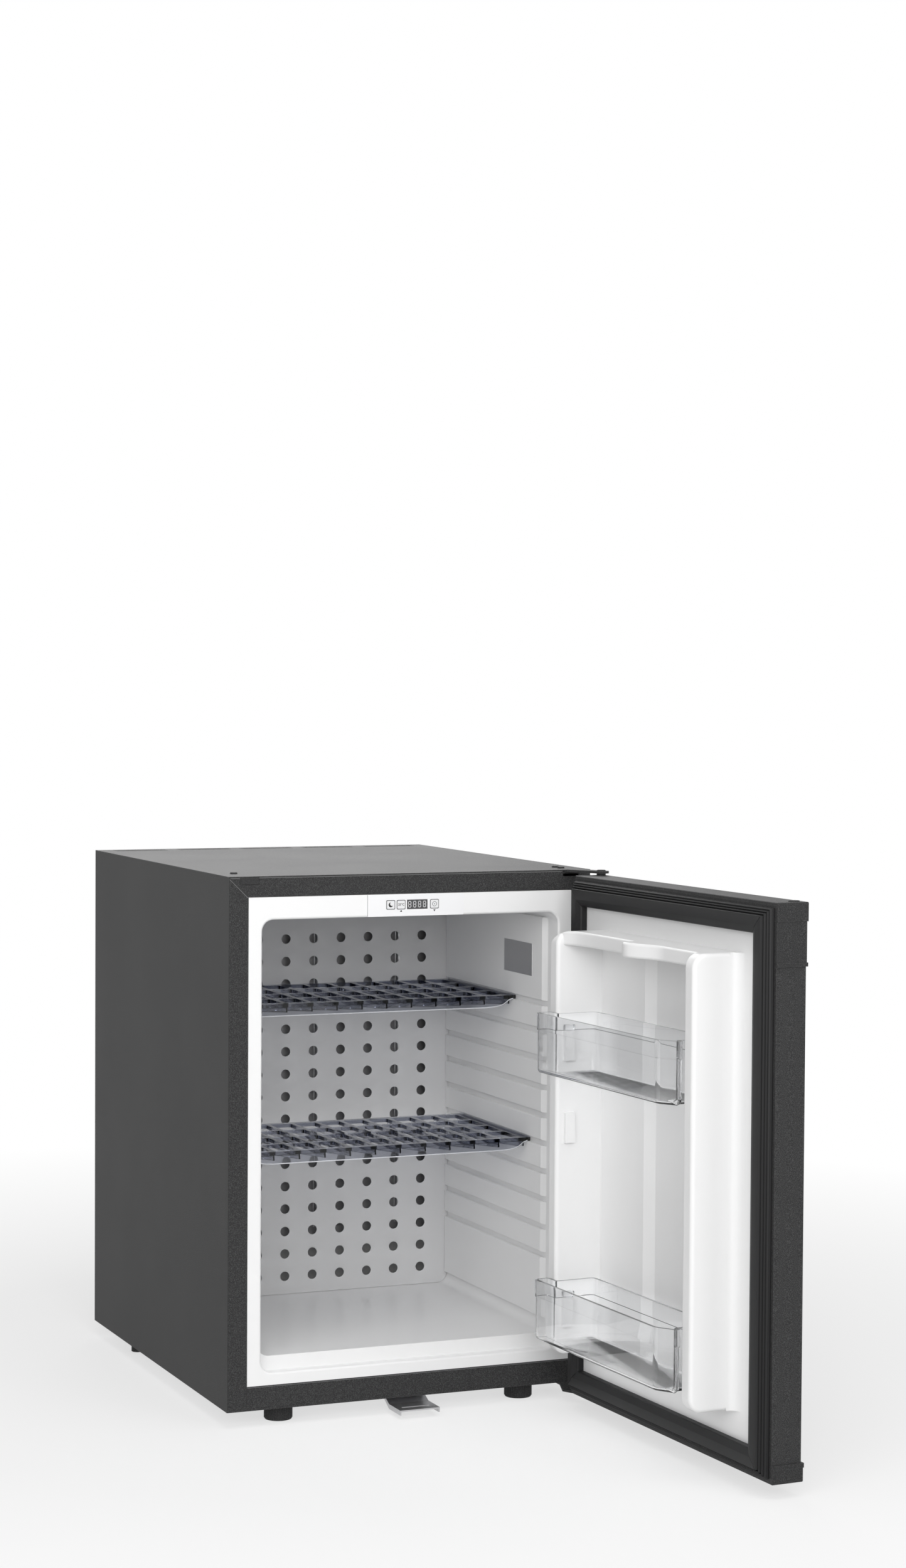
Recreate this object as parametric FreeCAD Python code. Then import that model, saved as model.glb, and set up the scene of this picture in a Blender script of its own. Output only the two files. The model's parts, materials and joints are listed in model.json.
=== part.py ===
import FreeCAD, Part
import math
import os
from FreeCAD import Placement, Rotation, Vector

# A small built-in refrigerator with its door standing open. Millimetres, +Z up, +X right,
# the front of the cabinet faces -Y. The origin is the centre of the cabinet's underside.

# Cabinet
cabinet_width = 400.0
cabinet_depth = 476.5
cabinet_height = 541.8
sheet = 0.8                    # bent steel sheet of cabinet and door
front_frame = 21.0             # dark steel frame round the front
bottom_rail_height = 24.0
frame_return = 10.0            # flanges turned back behind the frame
rear_flange = 13.0
seam = 0.3                     # gap between neighbouring sheets and mouldings
overrun = 5.0                  # how far a cutting body passes its target

# Cold compartment
cavity_side_wall = 36.2
cavity_top_wall = 44.3
cavity_floor = 52.0
machine_depth = 92.6           # open space behind the insulation, with its sheets
cavity_radius = 12.0
liner_wall = 1.6
liner_draw = 0.3               # liner flange lies behind the steel frame's face
mouth_bead = 7.0               # thickened mouth of the cavity
mouth_radius = 5.0
sill_height = 37.4
sill_depth = 12.0
evaporator_space = 44.0
rear_insulation = 42.0

# Shelf grooves in the side walls
groove_pitch = 29.7
groove_height = 6.0
groove_top_drop = 102.2        # cavity's ceiling to the top groove's floor
groove_floor_gap = 60.0        # no groove nearer to the cavity's floor
pad_height_in = 3.8            # how far the pads between grooves stand in
pad_front_gap = 26.0
pad_slope = 7.0
pad_edge = 1.2
pad_top_gap = 8.0
pad_floor_gap = 12.0

# Shelves
shelf_back_gap = 0.5
shelf_thickness = 4.0
shelf_upper_front = 107.0      # set back of the shelf's edge from the cabinet front
shelf_lower_front = 66.0
shelf_upper_groove = 0
shelf_lower_groove = 5
shelf_border = 8.0
shelf_back_border = 8.0
shelf_bar_pitch = 28.2
shelf_bar = 5.0
shelf_cross_bars = 3
shelf_cross_bar = 5.0
shelf_lip_height = 13.3
shelf_lip_wall = 2.2
shelf_lip_run_out = 31.0       # the lip rises to the rim over this length at each end
shelf_lip_place_shares = (0.15, 0.26, 0.37, 0.52, 0.73, 1.0)
shelf_lip_fall_shares = (0.16, 0.45, 0.68, 0.83, 0.94, 1.0)
shelf_rib_depth = 5.5
shelf_rib_wall = 1.6
shelf_corner = 2.5

# Evaporator and its perforated cover
cover_thickness = 1.5
cover_hole_radius = 5.3
cover_hole_pitch_x = 32.6
cover_hole_pitch_z = 25.2
cover_side_margin = 30.0
cover_floor_margin = 15.0
cover_top_hole = 47.5          # top row below the cavity's ceiling
evaporator_side_gap = 21.8
evaporator_top_gap = 13.5
evaporator_bottom = 112.0
evaporator_thickness = 1.5
evaporator_setback = 18.0
evaporator_tube_radius = 5.0
evaporator_tube_pitch = 49.0
evaporator_first_tube = 8.0
evaporator_clip_radius = 5.0
evaporator_clip_inset = 22.0

# Control strip in the top of the mouth
strip_width = 106.8
strip_centre = 2.2
strip_height = 22.7
strip_proud = 0.5
strip_wall = 1.8
strip_corner = 1.2
control_box_width = 92.0
control_box_height = 15.0
control_box_depth = 26.0
control_box_wall = 1.5
button_size = 8.5
button_corner = 1.1
button_proud = 0.3
button_gap = 0.2
button_travel = 0.8
button_depth = 4.0
button_flange = 1.0
button_flange_edge = 1.0
button_drop = 10.9             # strip's top edge to the keys' middle
button_places = (-25.5, -14.0, 22.9)
display_width = 22.5
display_height = 9.6
display_centre = 3.9
display_thickness = 2.5
board_thickness = 1.6
board_setback = 7.2
switch_size = 6.0
lamp_width = 30.0
lamp_depth = 9.0
lamp_thickness = 2.0

# Blank plate on the right wall
plate_width = 73.0
plate_height = 34.5
plate_thickness = 0.4
plate_front = 58.0
plate_top_gap = 38.0

# Door
door_thickness = 34.0
door_gap = 12.0                # door's inner face to cabinet front when closed
door_drop = 3.2                # door reaches below the cabinet's underside
door_top_gap = 3.7
door_open_angle = 92.7
cap_wall = 1.5                 # end caps stand this proud of the door skin
cap_height = 18.0
cap_plate = 2.5
grip_height = 38.0
grip_plate = 0.6
grip_ridge = 3.6
bottom_ridge = 4.5
door_edge_radius = 1.2
door_return = 12.5             # the skin's edge turned in under the door liner

# Door liner
door_liner_wall = 1.5
door_liner_margin = 6.0
post_reach = 85.0              # posts stand this far from the door's outer face
post_width = 18.0
hinge_post_start = 42.0
free_post_margin = 65.0
post_floor_gap = 1.5
post_top_gap = 51.1
post_end_radius = 14.0
post_edge = 4.0
post_corner = 28.0             # outer top corner over the hinge-side post
post_foot_radius = 10.0        # hollow round between a post's outer side and the pan
top_bar_height = 14.7
top_bar_reach = 72.5           # front of the bar on the free side
bar_hinge_reach = 69.5
bar_root_reach = 80.0          # where the bar leaves the hinge-side post
bar_root_place_shares = (-0.035, 0.0, 0.05, 0.12, 0.2)
bar_root_rise_shares = (1.0, 0.86, 0.42, 0.11, 0.0)
bar_edge = 2.4
nose_reach = 86.3              # the bar's face swells to a nose
nose_start_share = 0.505       # of the way between the posts
nose_length_share = 0.26
nose_place_shares = (0.015, 0.05, 0.11, 0.22, 0.44, 0.70, 1.0)
nose_rise_shares = (0.32, 0.76, 0.94, 1.0, 0.72, 0.27, 0.0)
recess_depth = 8.0
recess_step_depth = 2.0
recess_step_share = 0.35
recess_step_run = 14.0
recess_margin = 12.0
lug_width = 11.0
lug_height = 31.0
lug_out = 4.0
lug_reach = 65.6               # near edge of a lug from the door's outer face
lug_rise = 12.0                # a lug's foot over its basket's underside
spare_lug_drop = 84.0
lug_edge = 1.2

# Magnetic gasket: margins from the door's edge and heights over the door liner
gasket_margin = 8.7
gasket_width = 21.3
gasket_height = 9.7
gasket_lip_height = 6.6
gasket_skirt = 3.6             # thin outer edge that wraps the door liner's rim
gasket_skirt_height = 1.1
gasket_skirt_wall = 0.8
gasket_fin_height_shares = (0.42, 0.16, 0.52, 0.24, 0.64, 0.34)
gasket_fin_place_shares = (0.0, 0.07, 0.12, 0.19, 0.24, 0.31)
gasket_magnet_start_share = 0.36
gasket_magnet_end_share = 0.80

# Door baskets
basket_height = 61.0
basket_wall = 2.2
basket_rim_height = 17.2
basket_rim_step = 1.0
basket_hinge_cover = 6.0
basket_free_cover = 8.0
basket_reach = 104.0
basket_chamfer_length = 26.0
basket_chamfer_depth = 17.0
basket_lower_rise = 16.5       # over the posts' lower ends
basket_upper_drop = 144.5      # under the posts' tops
basket_corner = 6.0
basket_back_gap = 7.0
basket_post_gap = 5.0
basket_seat_gap = 0.4
hook_height = 6.0
hook_overlap = 0.4

# Hinges
pin_inset_x = 6.0
pin_inset_y = 6.5
pin_radius = 3.0
pin_clearance = 0.05
pin_head_radius = 4.6
pin_head_height = 1.1
pin_engagement = 14.0
bush_wall = 1.2
bush_collar_height = 1.8
bush_collar_radius = 4.75
hinge_plate = 2.4
hinge_arm_radius = 8.0
hinge_arm_inset = 31.1
hinge_arm_width = 17.4
hinge_leaf_depth = 52.0
hinge_leaf_width = 26.0
hinge_slot_height = 6.0
hinge_joggle_run = 8.0
hinge_gap = 0.3
slot_cover_width = 19.2
slot_cover_height = 6.6
slot_cover_drop = 1.6
slot_cover_proud = 1.0
screw_radius = 2.0
screw_head_radius = 3.8
screw_head_height = 1.6
screw_length = 9.0
top_screw_inset_x = 20.0
top_screw_setback = 44.0
hinge_screw_setback = 25.0
hinge_screw_pitch = 14.0
plug_radius = 5.4
plug_inset_x = 10.0
plug_inset_y = 10.5
plug_height = 1.0
plug_stem = 6.0

# Fixing bracket under the front
bracket_width = 44.0
bracket_sheet = 1.5
bracket_leaf = 60.0
bracket_leaf_setback = 23.0
bracket_drop = 7.5
bracket_slope = 17.0
bracket_tongue = 31.0
bracket_flange = 5.0
bracket_slot_length = 31.0
bracket_slot_width = 3.2
bracket_slot_setback = 12.0

# Feet
foot_height = 17.5
foot_gap = 0.5
foot_radius = 14.0
foot_collar_radius = 14.8
foot_collar_height = 3.0
foot_rib_count = 36
foot_rib_radius = 0.7
foot_inset_x = 65.5
foot_setback = 30.5
foot_travel = 8.0
stud_radius = 4.0
stud_clearance = 0.05
stud_length = 21.0
nut_radius = 9.0
nut_height = 10.0
nut_chamber = 2.0
rear_foot_radius = 7.0
rear_foot_inset_x = 22.0
rear_foot_from_back = 97.0

# Vent slits in the top panel
vent_groups = 5
vent_side_gap = 10.0
vent_rows = 3
vent_row_pitch = 6.5
vent_gap = 14.0
vent_width = 3.0
vent_from_back = 12.0

# Machine space behind the insulated box
condenser_tube_radius = 2.4
condenser_pitch = 30.0
condenser_side_gap = 50.0
condenser_top_gap = 60.0
condenser_bottom = 205.0
condenser_from_back = 14.0
condenser_wire_radius = 0.8
condenser_wire_pitch = 18.0
condenser_wire_margin = 12.0
condenser_wire_overhang = 9.0
condenser_wire_gap = 0.1
condenser_clip_thickness = 2.0
condenser_clip_height = 12.0
condenser_clip_lap = 4.0
compressor_inset = 140.0
compressor_radius = 41.0
compressor_waist = 8.0
compressor_height = 112.0
compressor_dome = 24.0
compressor_lift = 12.0
compressor_foot_length = 124.0
compressor_foot_width = 68.0
compressor_foot_plate = 2.0
compressor_rim = 1.5
compressor_rim_height = 4.0
grommet_radius = 8.0
grommet_inset = 10.0
grommet_bore = 3.2
bolt_radius = 3.0
bolt_head_radius = 5.0
bolt_head_height = 3.5
relay_depth = 34.0
relay_width = 44.0
relay_height = 46.0
relay_lift = 42.0
pipe_radius = 2.6
pipe_rise = 24.0
pipe_side_gap = 6.0
pipe_spacing = 9.0
drier_radius = 8.0
drier_length = 62.0
drier_neck = 12.0
drier_y_offset = 24.0
drier_bottom = 110.0
tray_side_gap = 20.0
tray_depth = 74.0
tray_height = 26.0
tray_wall = 1.8
tray_corner = 4.0
drain_radius = 5.0
drain_wall = 1.2
drain_height = 42.0
drain_funnel_radius = 8.0
power_width = 50.0
power_height = 78.0
power_depth = 42.0
power_gap = 5.0
tray_power_gap = 3.0
power_corner = 3.0
inlet_width = 27.0
inlet_height = 19.5
inlet_depth = 22.0
inlet_inset = 40.0
inlet_z = 44.0
inlet_plate_width = 56.0
inlet_plate_height = 74.0
inlet_recess = 14.0
inlet_recess_edge = 3.5
inlet_pin_width = 2.0
inlet_pin_height = 4.0
inlet_pin_pitch = 7.0

# Derived sizes and places
half_width = cabinet_width / 2
front = -cabinet_depth / 2
rear = cabinet_depth / 2
case_top = cabinet_height - sheet
cavity_width = cabinet_width - 2 * cavity_side_wall
half_cavity = cavity_width / 2
cavity_top = cabinet_height - cavity_top_wall
cavity_depth = cabinet_depth - machine_depth - rear_insulation - liner_wall - evaporator_space
cover_front = front + cavity_depth
liner_back = cover_front + evaporator_space
foam_back = liner_back + liner_wall + rear_insulation
frame_inside = half_width - front_frame
frame_top = cabinet_height - front_frame
pad_face = half_cavity - pad_height_in
top_groove_floor = cavity_top - groove_top_drop
groove_count = int((top_groove_floor - cavity_floor - groove_floor_gap) / groove_pitch) + 1
shelf_depth = cavity_depth - shelf_upper_front - shelf_back_gap
cover_hole_columns = int((cavity_width - 2 * cover_side_margin) / cover_hole_pitch_x) + 1
cover_hole_rows = int((cavity_top - cover_top_hole - cavity_floor - cover_floor_margin) / cover_hole_pitch_z) + 1
evaporator_width = cavity_width - 2 * evaporator_side_gap
evaporator_height = cavity_top - evaporator_top_gap - evaporator_bottom
evaporator_tube_count = int((evaporator_width - 2 * evaporator_first_tube) / evaporator_tube_pitch) + 1
button_height = frame_top - seam - button_drop
plate_bottom = cavity_top - plate_top_gap - plate_height
door_width = cabinet_width
door_top = cabinet_height - door_top_gap
door_outer = front - door_gap - door_thickness
lined = door_thickness + door_liner_wall
pin_x = half_width - pin_inset_x
pin_y = door_outer + pin_inset_y
post_bottom = cavity_floor + post_floor_gap
post_top = door_top - post_top_gap
free_post_start = door_width - free_post_margin - post_width
post_span = free_post_start - hinge_post_start - post_width
nose_start = hinge_post_start + post_width + nose_start_share * post_span
nose_length = nose_length_share * post_span
recess_step_at = hinge_post_start + post_width + recess_step_share * post_span
basket_start = hinge_post_start + basket_hinge_cover
basket_end = free_post_start + basket_free_cover
basket_bottoms = (post_bottom + basket_lower_rise, post_top - basket_upper_drop)
lug_bottoms = (basket_bottoms[0] + lug_rise, basket_bottoms[1] + lug_rise - spare_lug_drop,
               basket_bottoms[1] + lug_rise)
hinge_arm_start = half_width - hinge_arm_inset
vent_group_pitch = (cabinet_width - 2 * vent_side_gap) / vent_groups
vent_length = vent_group_pitch - vent_gap
condenser_half_span = half_width - condenser_side_gap
condenser_runs = int((case_top - condenser_top_gap - condenser_bottom) / condenser_pitch) + 1
condenser_wire_count = int((2 * condenser_half_span - 2 * condenser_wire_margin) / condenser_wire_pitch) + 1
compressor_x = half_width - compressor_inset
power_x = compressor_x - compressor_foot_length / 2 - power_gap - power_width / 2
tray_right = power_x - power_width / 2 - tray_power_gap
tray_length = tray_right + half_width - tray_side_gap
tray_x = tray_right - tray_length / 2
drier_x = tray_right
inlet_x = half_width - inlet_inset


def block(x0, x1, y0, y1, z0, z1):
    """Box between two corners."""
    return Part.makeBox(x1 - x0, y1 - y0, z1 - z0, Vector(x0, y0, z0))


def rod(radius, length, x, y, z, along=Vector(0, 0, 1)):
    """Cylinder that starts at a point and runs along a direction."""
    return Part.makeCylinder(radius, length, Vector(x, y, z), along)


def prism(points, along):
    """Flat polygon pushed along a vector."""
    return Part.Face(Part.makePolygon(points + [points[0]])).extrude(along)


def rounded_outline(x0, x1, z0, z1, radius, y):
    """Rectangle with round corners in a plane square to Y."""
    spots = [(x1 - radius, z0 + radius, -90), (x1 - radius, z1 - radius, 0),
             (x0 + radius, z1 - radius, 90), (x0 + radius, z0 + radius, 180)]
    edges = []
    ends = []
    for x, z, turn in spots:
        arc = []
        for step in (0, 45, 90):
            angle = math.radians(turn + step)
            arc.append(Vector(x + radius * math.cos(angle), y, z + radius * math.sin(angle)))
        edges.append(Part.Arc(*arc).toShape())
        ends.append((arc[0], arc[-1]))
    for i, (_, end) in enumerate(ends):
        edges.append(Part.LineSegment(end, ends[(i + 1) % len(ends)][0]).toShape())
    return Part.Wire(Part.__sortEdges__(edges))


def rounded_block(x0, x1, y0, y1, z0, z1, radius):
    """Box whose four edges along Y are round."""
    return Part.Face(rounded_outline(x0, x1, z0, z1, radius, y0)).extrude(Vector(0, y1 - y0, 0))


def soften(shape, radius, choose):
    """Rounds the edges that a test picks, and leaves the shape as it was if none is picked."""
    edges = [edge for edge in shape.Edges if choose(edge)]
    return shape.makeFillet(radius, edges) if edges else shape


def runs_along(edge, axis):
    """True for a straight edge along an axis number."""
    if edge.Curve.TypeId != "Part::GeomLine":
        return False
    way = edge.Vertexes[-1].Point - edge.Vertexes[0].Point
    return abs(way[axis]) > 0.999 * way.Length


def fused(shapes):
    """One solid from several that meet."""
    return shapes[0].multiFuse(shapes[1:]).removeSplitter() if len(shapes) > 1 else shapes[0]


def mirror_x(shape):
    """The same shape on the other side of the cabinet."""
    return shape.mirror(Vector(0, 0, 0), Vector(1, 0, 0))


def save(name, shape):
    """Writes one piece, or one group of equal pieces."""
    solids = shape.Solids
    if not solids or not shape.isValid():
        raise ValueError(name + " is not a sound solid")
    out = solids[0] if len(solids) == 1 else Part.makeCompound(solids)
    out.exportStep("parts/" + name + ".step")


# Cabinet case

def side_panel():
    """Left side sheet with its front frame strip and rear flange."""
    wall = block(-half_width, sheet - half_width, front, rear, 0, case_top)
    mitre = [Vector(-half_width, front, 0), Vector(-frame_inside, front, 0),
             Vector(-frame_inside, front, frame_top), Vector(-half_width + sheet, front, case_top),
             Vector(-half_width, front, case_top)]
    strip = prism(mitre, Vector(0, sheet, 0))
    back = block(-frame_inside - sheet, -frame_inside, front, front + frame_return, sheet, frame_top)
    flange = block(-half_width, rear_flange - half_width, rear - sheet, rear, 0, case_top)
    return fused([wall, strip, back, flange])


def top_rail():
    """Front cross rail under the top panel, mitred against both side strips."""
    gap = seam
    low = frame_top
    points = [Vector(-frame_inside + gap, front, low), Vector(frame_inside - gap, front, low),
              Vector(half_width - sheet - gap, front, case_top),
              Vector(sheet + gap - half_width, front, case_top)]
    face = prism(points, Vector(0, sheet, 0))
    half = frame_inside - gap
    lower = block(-half, half, front, front + frame_return, low, low + sheet)
    half = half_width - front_frame - seam
    upper = block(-half, half, front, front + front_frame, case_top - sheet, case_top)
    rail = fused([face, lower, upper])
    for side in (-1, 1):
        middle = side * (hinge_arm_start + hinge_arm_width / 2)
        half_slot = hinge_arm_width / 2 + seam
        slot = block(middle - half_slot, middle + half_slot, front - overrun,
                     front + front_frame + overrun, case_top - hinge_slot_height, case_top + overrun)
        rail = rail.cut(slot)
    return rail


def bottom_rail():
    """Front cross rail under the cold compartment."""
    half = frame_inside - sheet - seam
    face = block(-frame_inside + seam, frame_inside - seam, front, front + sheet, 0, bottom_rail_height)
    back = block(-half, half, front, front + frame_return, bottom_rail_height - sheet, bottom_rail_height)
    return fused([face, back])


def top_panel():
    """Top sheet with vent slits along its rear edge and screw holes."""
    panel = block(-half_width, half_width, front, rear, case_top, cabinet_height)
    for group in range(vent_groups):
        middle = (group - (vent_groups - 1) / 2) * vent_group_pitch
        for row in range(vent_rows):
            y = rear - vent_from_back - row * vent_row_pitch
            straight = vent_length / 2 - vent_width / 2
            slit = block(middle - straight, middle + straight, y - vent_width / 2, y + vent_width / 2,
                         case_top - overrun, cabinet_height + overrun)
            for end in (-straight, straight):
                slit = slit.fuse(rod(vent_width / 2, sheet + 2 * overrun, middle + end, y, case_top - overrun))
            panel = panel.cut(slit)
    for x, y in top_screw_places() + hinge_screw_places():
        panel = panel.cut(rod(screw_radius + seam, sheet + 2 * overrun, x, y, case_top - overrun))
    return panel


def top_screw_places():
    """Screw at the top panel's free front corner; the hinge's screws hold the other one."""
    return [(top_screw_inset_x - half_width, front + top_screw_setback)]


def machine_screw(x, y, z, way=1):
    """Screw with a domed head at z that points down, or up with way -1."""
    along = Vector(0, 0, -way)
    head = rod(screw_head_radius, screw_head_height, x, y, z, Vector(0, 0, way))
    head = soften(head, screw_head_height / 2,
                  lambda e: abs(e.BoundBox.ZMin - z - way * screw_head_height) < seam / 10
                  and e.Curve.TypeId == "Part::GeomCircle")
    shank = rod(screw_radius, screw_length, x, y, z, along)
    return fused([head, shank])


def base_panel():
    """Bottom sheet, with holes for the studs of the front feet."""
    inside = half_width - sheet
    panel = block(-inside, inside, front + sheet, rear - sheet, 0, sheet)
    for side in (-1, 1):
        x, y = front_foot_place(side)
        panel = panel.cut(rod(stud_radius + seam, sheet + 2 * overrun, x, y, -overrun))
    for x, y in bracket_screw_places() + hinge_screw_places():
        panel = panel.cut(rod(screw_radius + seam, sheet + 2 * overrun, x, y, -overrun))
    return panel


def back_panel():
    """Sheet behind the insulation, open for the drain."""
    inside = half_width - sheet
    panel = block(-inside, inside, foam_back, foam_back + sheet, sheet, case_top)
    panel = panel.cut(rod(drain_radius + seam, 2 * overrun, tray_x, foam_back - overrun, drain_height, Vector(0, 1, 0)))
    for x, z in (suction_place(), capillary_place()):
        panel = panel.cut(rod(pipe_radius + seam, 2 * overrun, x, foam_back - overrun, z, Vector(0, 1, 0)))
    return panel


def insulation_foam():
    """Foam between the liner and the steel case."""
    inside = half_width - sheet
    wall = liner_wall + seam
    foam = block(-inside, inside, front + frame_return + seam, foam_back, sheet, case_top)
    hole = rounded_block(-half_cavity - wall, half_cavity + wall, front, liner_back + wall,
                         cavity_floor - wall, cavity_top + wall, cavity_radius + wall)
    foam = foam.cut(hole)
    bead = mouth_bead + seam
    foam = foam.cut(block(-half_cavity - bead, half_cavity + bead, front,
                          front + liner_draw + sill_depth + mouth_bead + seam,
                          sill_height - mouth_bead - seam, cavity_top + bead))
    foam = foam.cut(block(-inside, inside, front, front + frame_return + seam, sheet, case_top))
    foam = foam.cut(control_pocket(seam))
    foam = foam.cut(block(-inside, inside, front, front + front_frame + seam,
                          case_top - hinge_slot_height, case_top))
    for side in (-1, 1):
        x, y = front_foot_place(side)
        foam = foam.cut(rod(nut_radius + nut_chamber, stud_length + nut_chamber, x, y, 0))
        leaf = (side * (hinge_arm_start + hinge_arm_width / 2), front + hinge_leaf_depth / 2)
        half = hinge_leaf_width / 2 + nut_chamber
        foam = foam.cut(block(leaf[0] - half, leaf[0] + half, front, front + hinge_leaf_depth + nut_chamber,
                              case_top - screw_length - nut_chamber, case_top))
    for x, y in top_screw_places():
        foam = foam.cut(rod(screw_radius + seam, screw_length + nut_chamber, x, y,
                            cabinet_height - screw_length - seam))
    for x, y in bracket_screw_places() + hinge_screw_places():
        foam = foam.cut(rod(screw_radius + seam, screw_length + nut_chamber, x, y, 0))
    x, y, _ = drain_inlet()
    foam = foam.cut(rod(drain_funnel_radius + seam, cavity_floor, x, y, drain_height - drain_radius - 3 * seam))
    foam = foam.cut(rod(drain_radius + seam, rear - y, x, y, drain_height, Vector(0, 1, 0)))
    for x, z in (suction_place(), capillary_place()):
        foam = foam.cut(rod(pipe_radius + seam, rear_insulation + 2 * overrun, x, liner_back, z, Vector(0, 1, 0)))
    return foam


# Cold compartment

def groove_floor(index):
    """Height of a groove's lower face, counted from the top."""
    return top_groove_floor - index * groove_pitch


def wall_pads():
    """Raised pads on the right wall. A shelf's edge slides in the groove between two of them."""
    heights = [(groove_floor(0) + groove_height, cavity_top - pad_top_gap)]
    for index in range(groove_count - 1):
        heights.append((groove_floor(index + 1) + groove_height, groove_floor(index)))
    heights.append((cavity_floor + pad_floor_gap, groove_floor(groove_count - 1)))
    start = front + pad_front_gap
    pads = []
    for low, high in heights:
        points = [Vector(half_cavity + liner_wall / 2, start, low), Vector(half_cavity, start, low),
                  Vector(pad_face, start + pad_slope, low), Vector(pad_face, cover_front - seam, low),
                  Vector(half_cavity + liner_wall / 2, cover_front - seam, low)]
        pad = prism(points, Vector(0, 0, high - low))
        pads.append(soften(pad, pad_edge, lambda e: runs_along(e, 1) and e.BoundBox.XMax < half_cavity
                           or e.BoundBox.XMax < half_cavity and runs_along(e, 2)))
    return pads


def inner_liner():
    """White cold compartment: flange, mouth, walls with shelf grooves, and a dropped sill."""
    start = front + liner_draw
    wall = liner_wall
    shell = rounded_block(-half_cavity - wall, half_cavity + wall, start, liner_back + wall,
                          cavity_floor - wall, cavity_top + wall, cavity_radius + wall)
    mouth = block(-half_cavity - mouth_bead, half_cavity + mouth_bead, start, start + mouth_bead,
                  bottom_rail_height + seam, cavity_top + mouth_bead)
    sill = block(-half_cavity - mouth_bead, half_cavity + mouth_bead, start, start + sill_depth + mouth_bead,
                 sill_height - mouth_bead, cavity_floor + cavity_radius)
    flange = block(-frame_inside + seam, frame_inside - seam, start, start + wall,
                   bottom_rail_height + seam, frame_top - seam)
    liner = fused([shell, mouth, sill, flange])
    hollow = rounded_block(-half_cavity, half_cavity, front - overrun, liner_back,
                           cavity_floor, cavity_top, cavity_radius)
    step = rounded_block(-half_cavity, half_cavity, front - overrun, start + sill_depth,
                         sill_height, cavity_top, cavity_radius)
    liner = liner.cut(hollow).cut(step)
    lip = [e for e in liner.Edges if abs(e.BoundBox.YMin - start) < seam / 10
           and abs(e.BoundBox.YMax - start) < seam / 10 and abs(e.BoundBox.XMin) <= half_cavity + seam
           and abs(e.BoundBox.XMax) <= half_cavity + seam and e.BoundBox.ZMin > sill_height - seam
           and e.BoundBox.ZMax < cavity_top + seam]
    liner = liner.makeFillet(mouth_radius / 2, lip)
    liner = liner.fuse(wall_pads()).fuse([mirror_x(pad) for pad in wall_pads()]).removeSplitter()
    liner = liner.cut(control_pocket(0))
    x, y, _ = drain_inlet()
    liner = liner.cut(rod(drain_radius, 2 * overrun, x, y, cavity_floor - overrun))
    for x, z in (suction_place(), capillary_place()):
        liner = liner.cut(rod(pipe_radius + seam, 2 * overrun, x, liner_back - overrun, z, Vector(0, 1, 0)))
    return liner


def cover_hole_places():
    """Grid of round holes in the evaporator cover."""
    places = []
    for row in range(cover_hole_rows):
        for column in range(cover_hole_columns):
            x = (column - (cover_hole_columns - 1) / 2) * cover_hole_pitch_x
            places.append((x, cavity_top - cover_top_hole - row * cover_hole_pitch_z))
    return places


def evaporator_cover():
    """Perforated cover across the back of the compartment."""
    edge = seam
    cover = rounded_block(-half_cavity + edge, half_cavity - edge, cover_front, cover_front + cover_thickness,
                          cavity_floor + edge, cavity_top - edge, cavity_radius - edge)
    holes = [rod(cover_hole_radius, cover_thickness + 2 * overrun, x, cover_front - overrun, z, Vector(0, 1, 0))
             for x, z in cover_hole_places()]
    return cover.cut(Part.makeCompound(holes))


def evaporator_plate():
    """Aluminium plate with upright refrigerant channels on its front face."""
    y = cover_front + cover_thickness + evaporator_setback
    plate = block(-evaporator_width / 2, evaporator_width / 2, y, y + evaporator_thickness,
                  evaporator_bottom, evaporator_bottom + evaporator_height)
    pieces = [plate]
    reach = evaporator_height - 4 * evaporator_tube_radius
    low = evaporator_bottom + 2 * evaporator_tube_radius
    for index in range(evaporator_tube_count):
        x = index * evaporator_tube_pitch + evaporator_first_tube - evaporator_width / 2
        pieces.append(rod(evaporator_tube_radius, reach, x, y, low))
        if index < evaporator_tube_count - 1:
            z = low + evaporator_tube_radius if index % 2 else low + reach - evaporator_tube_radius
            pieces.append(rod(evaporator_tube_radius, evaporator_tube_pitch, x, y, z, Vector(1, 0, 0)))
    return fused(pieces).cut(block(-half_width, half_width, y + evaporator_thickness, rear, 0, cabinet_height))


def evaporator_clips():
    """Four pegs that hold the evaporator plate off the liner's back wall."""
    start = cover_front + cover_thickness + evaporator_setback + evaporator_thickness
    pegs = []
    for side in (-1, 1):
        for z in (evaporator_bottom + evaporator_clip_inset,
                  evaporator_bottom + evaporator_height - evaporator_clip_inset):
            x = side * (evaporator_width / 2 - evaporator_clip_inset)
            pegs.append(rod(evaporator_clip_radius, liner_back - start, x, start, z, Vector(0, 1, 0)))
    return Part.makeCompound(pegs)


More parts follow.
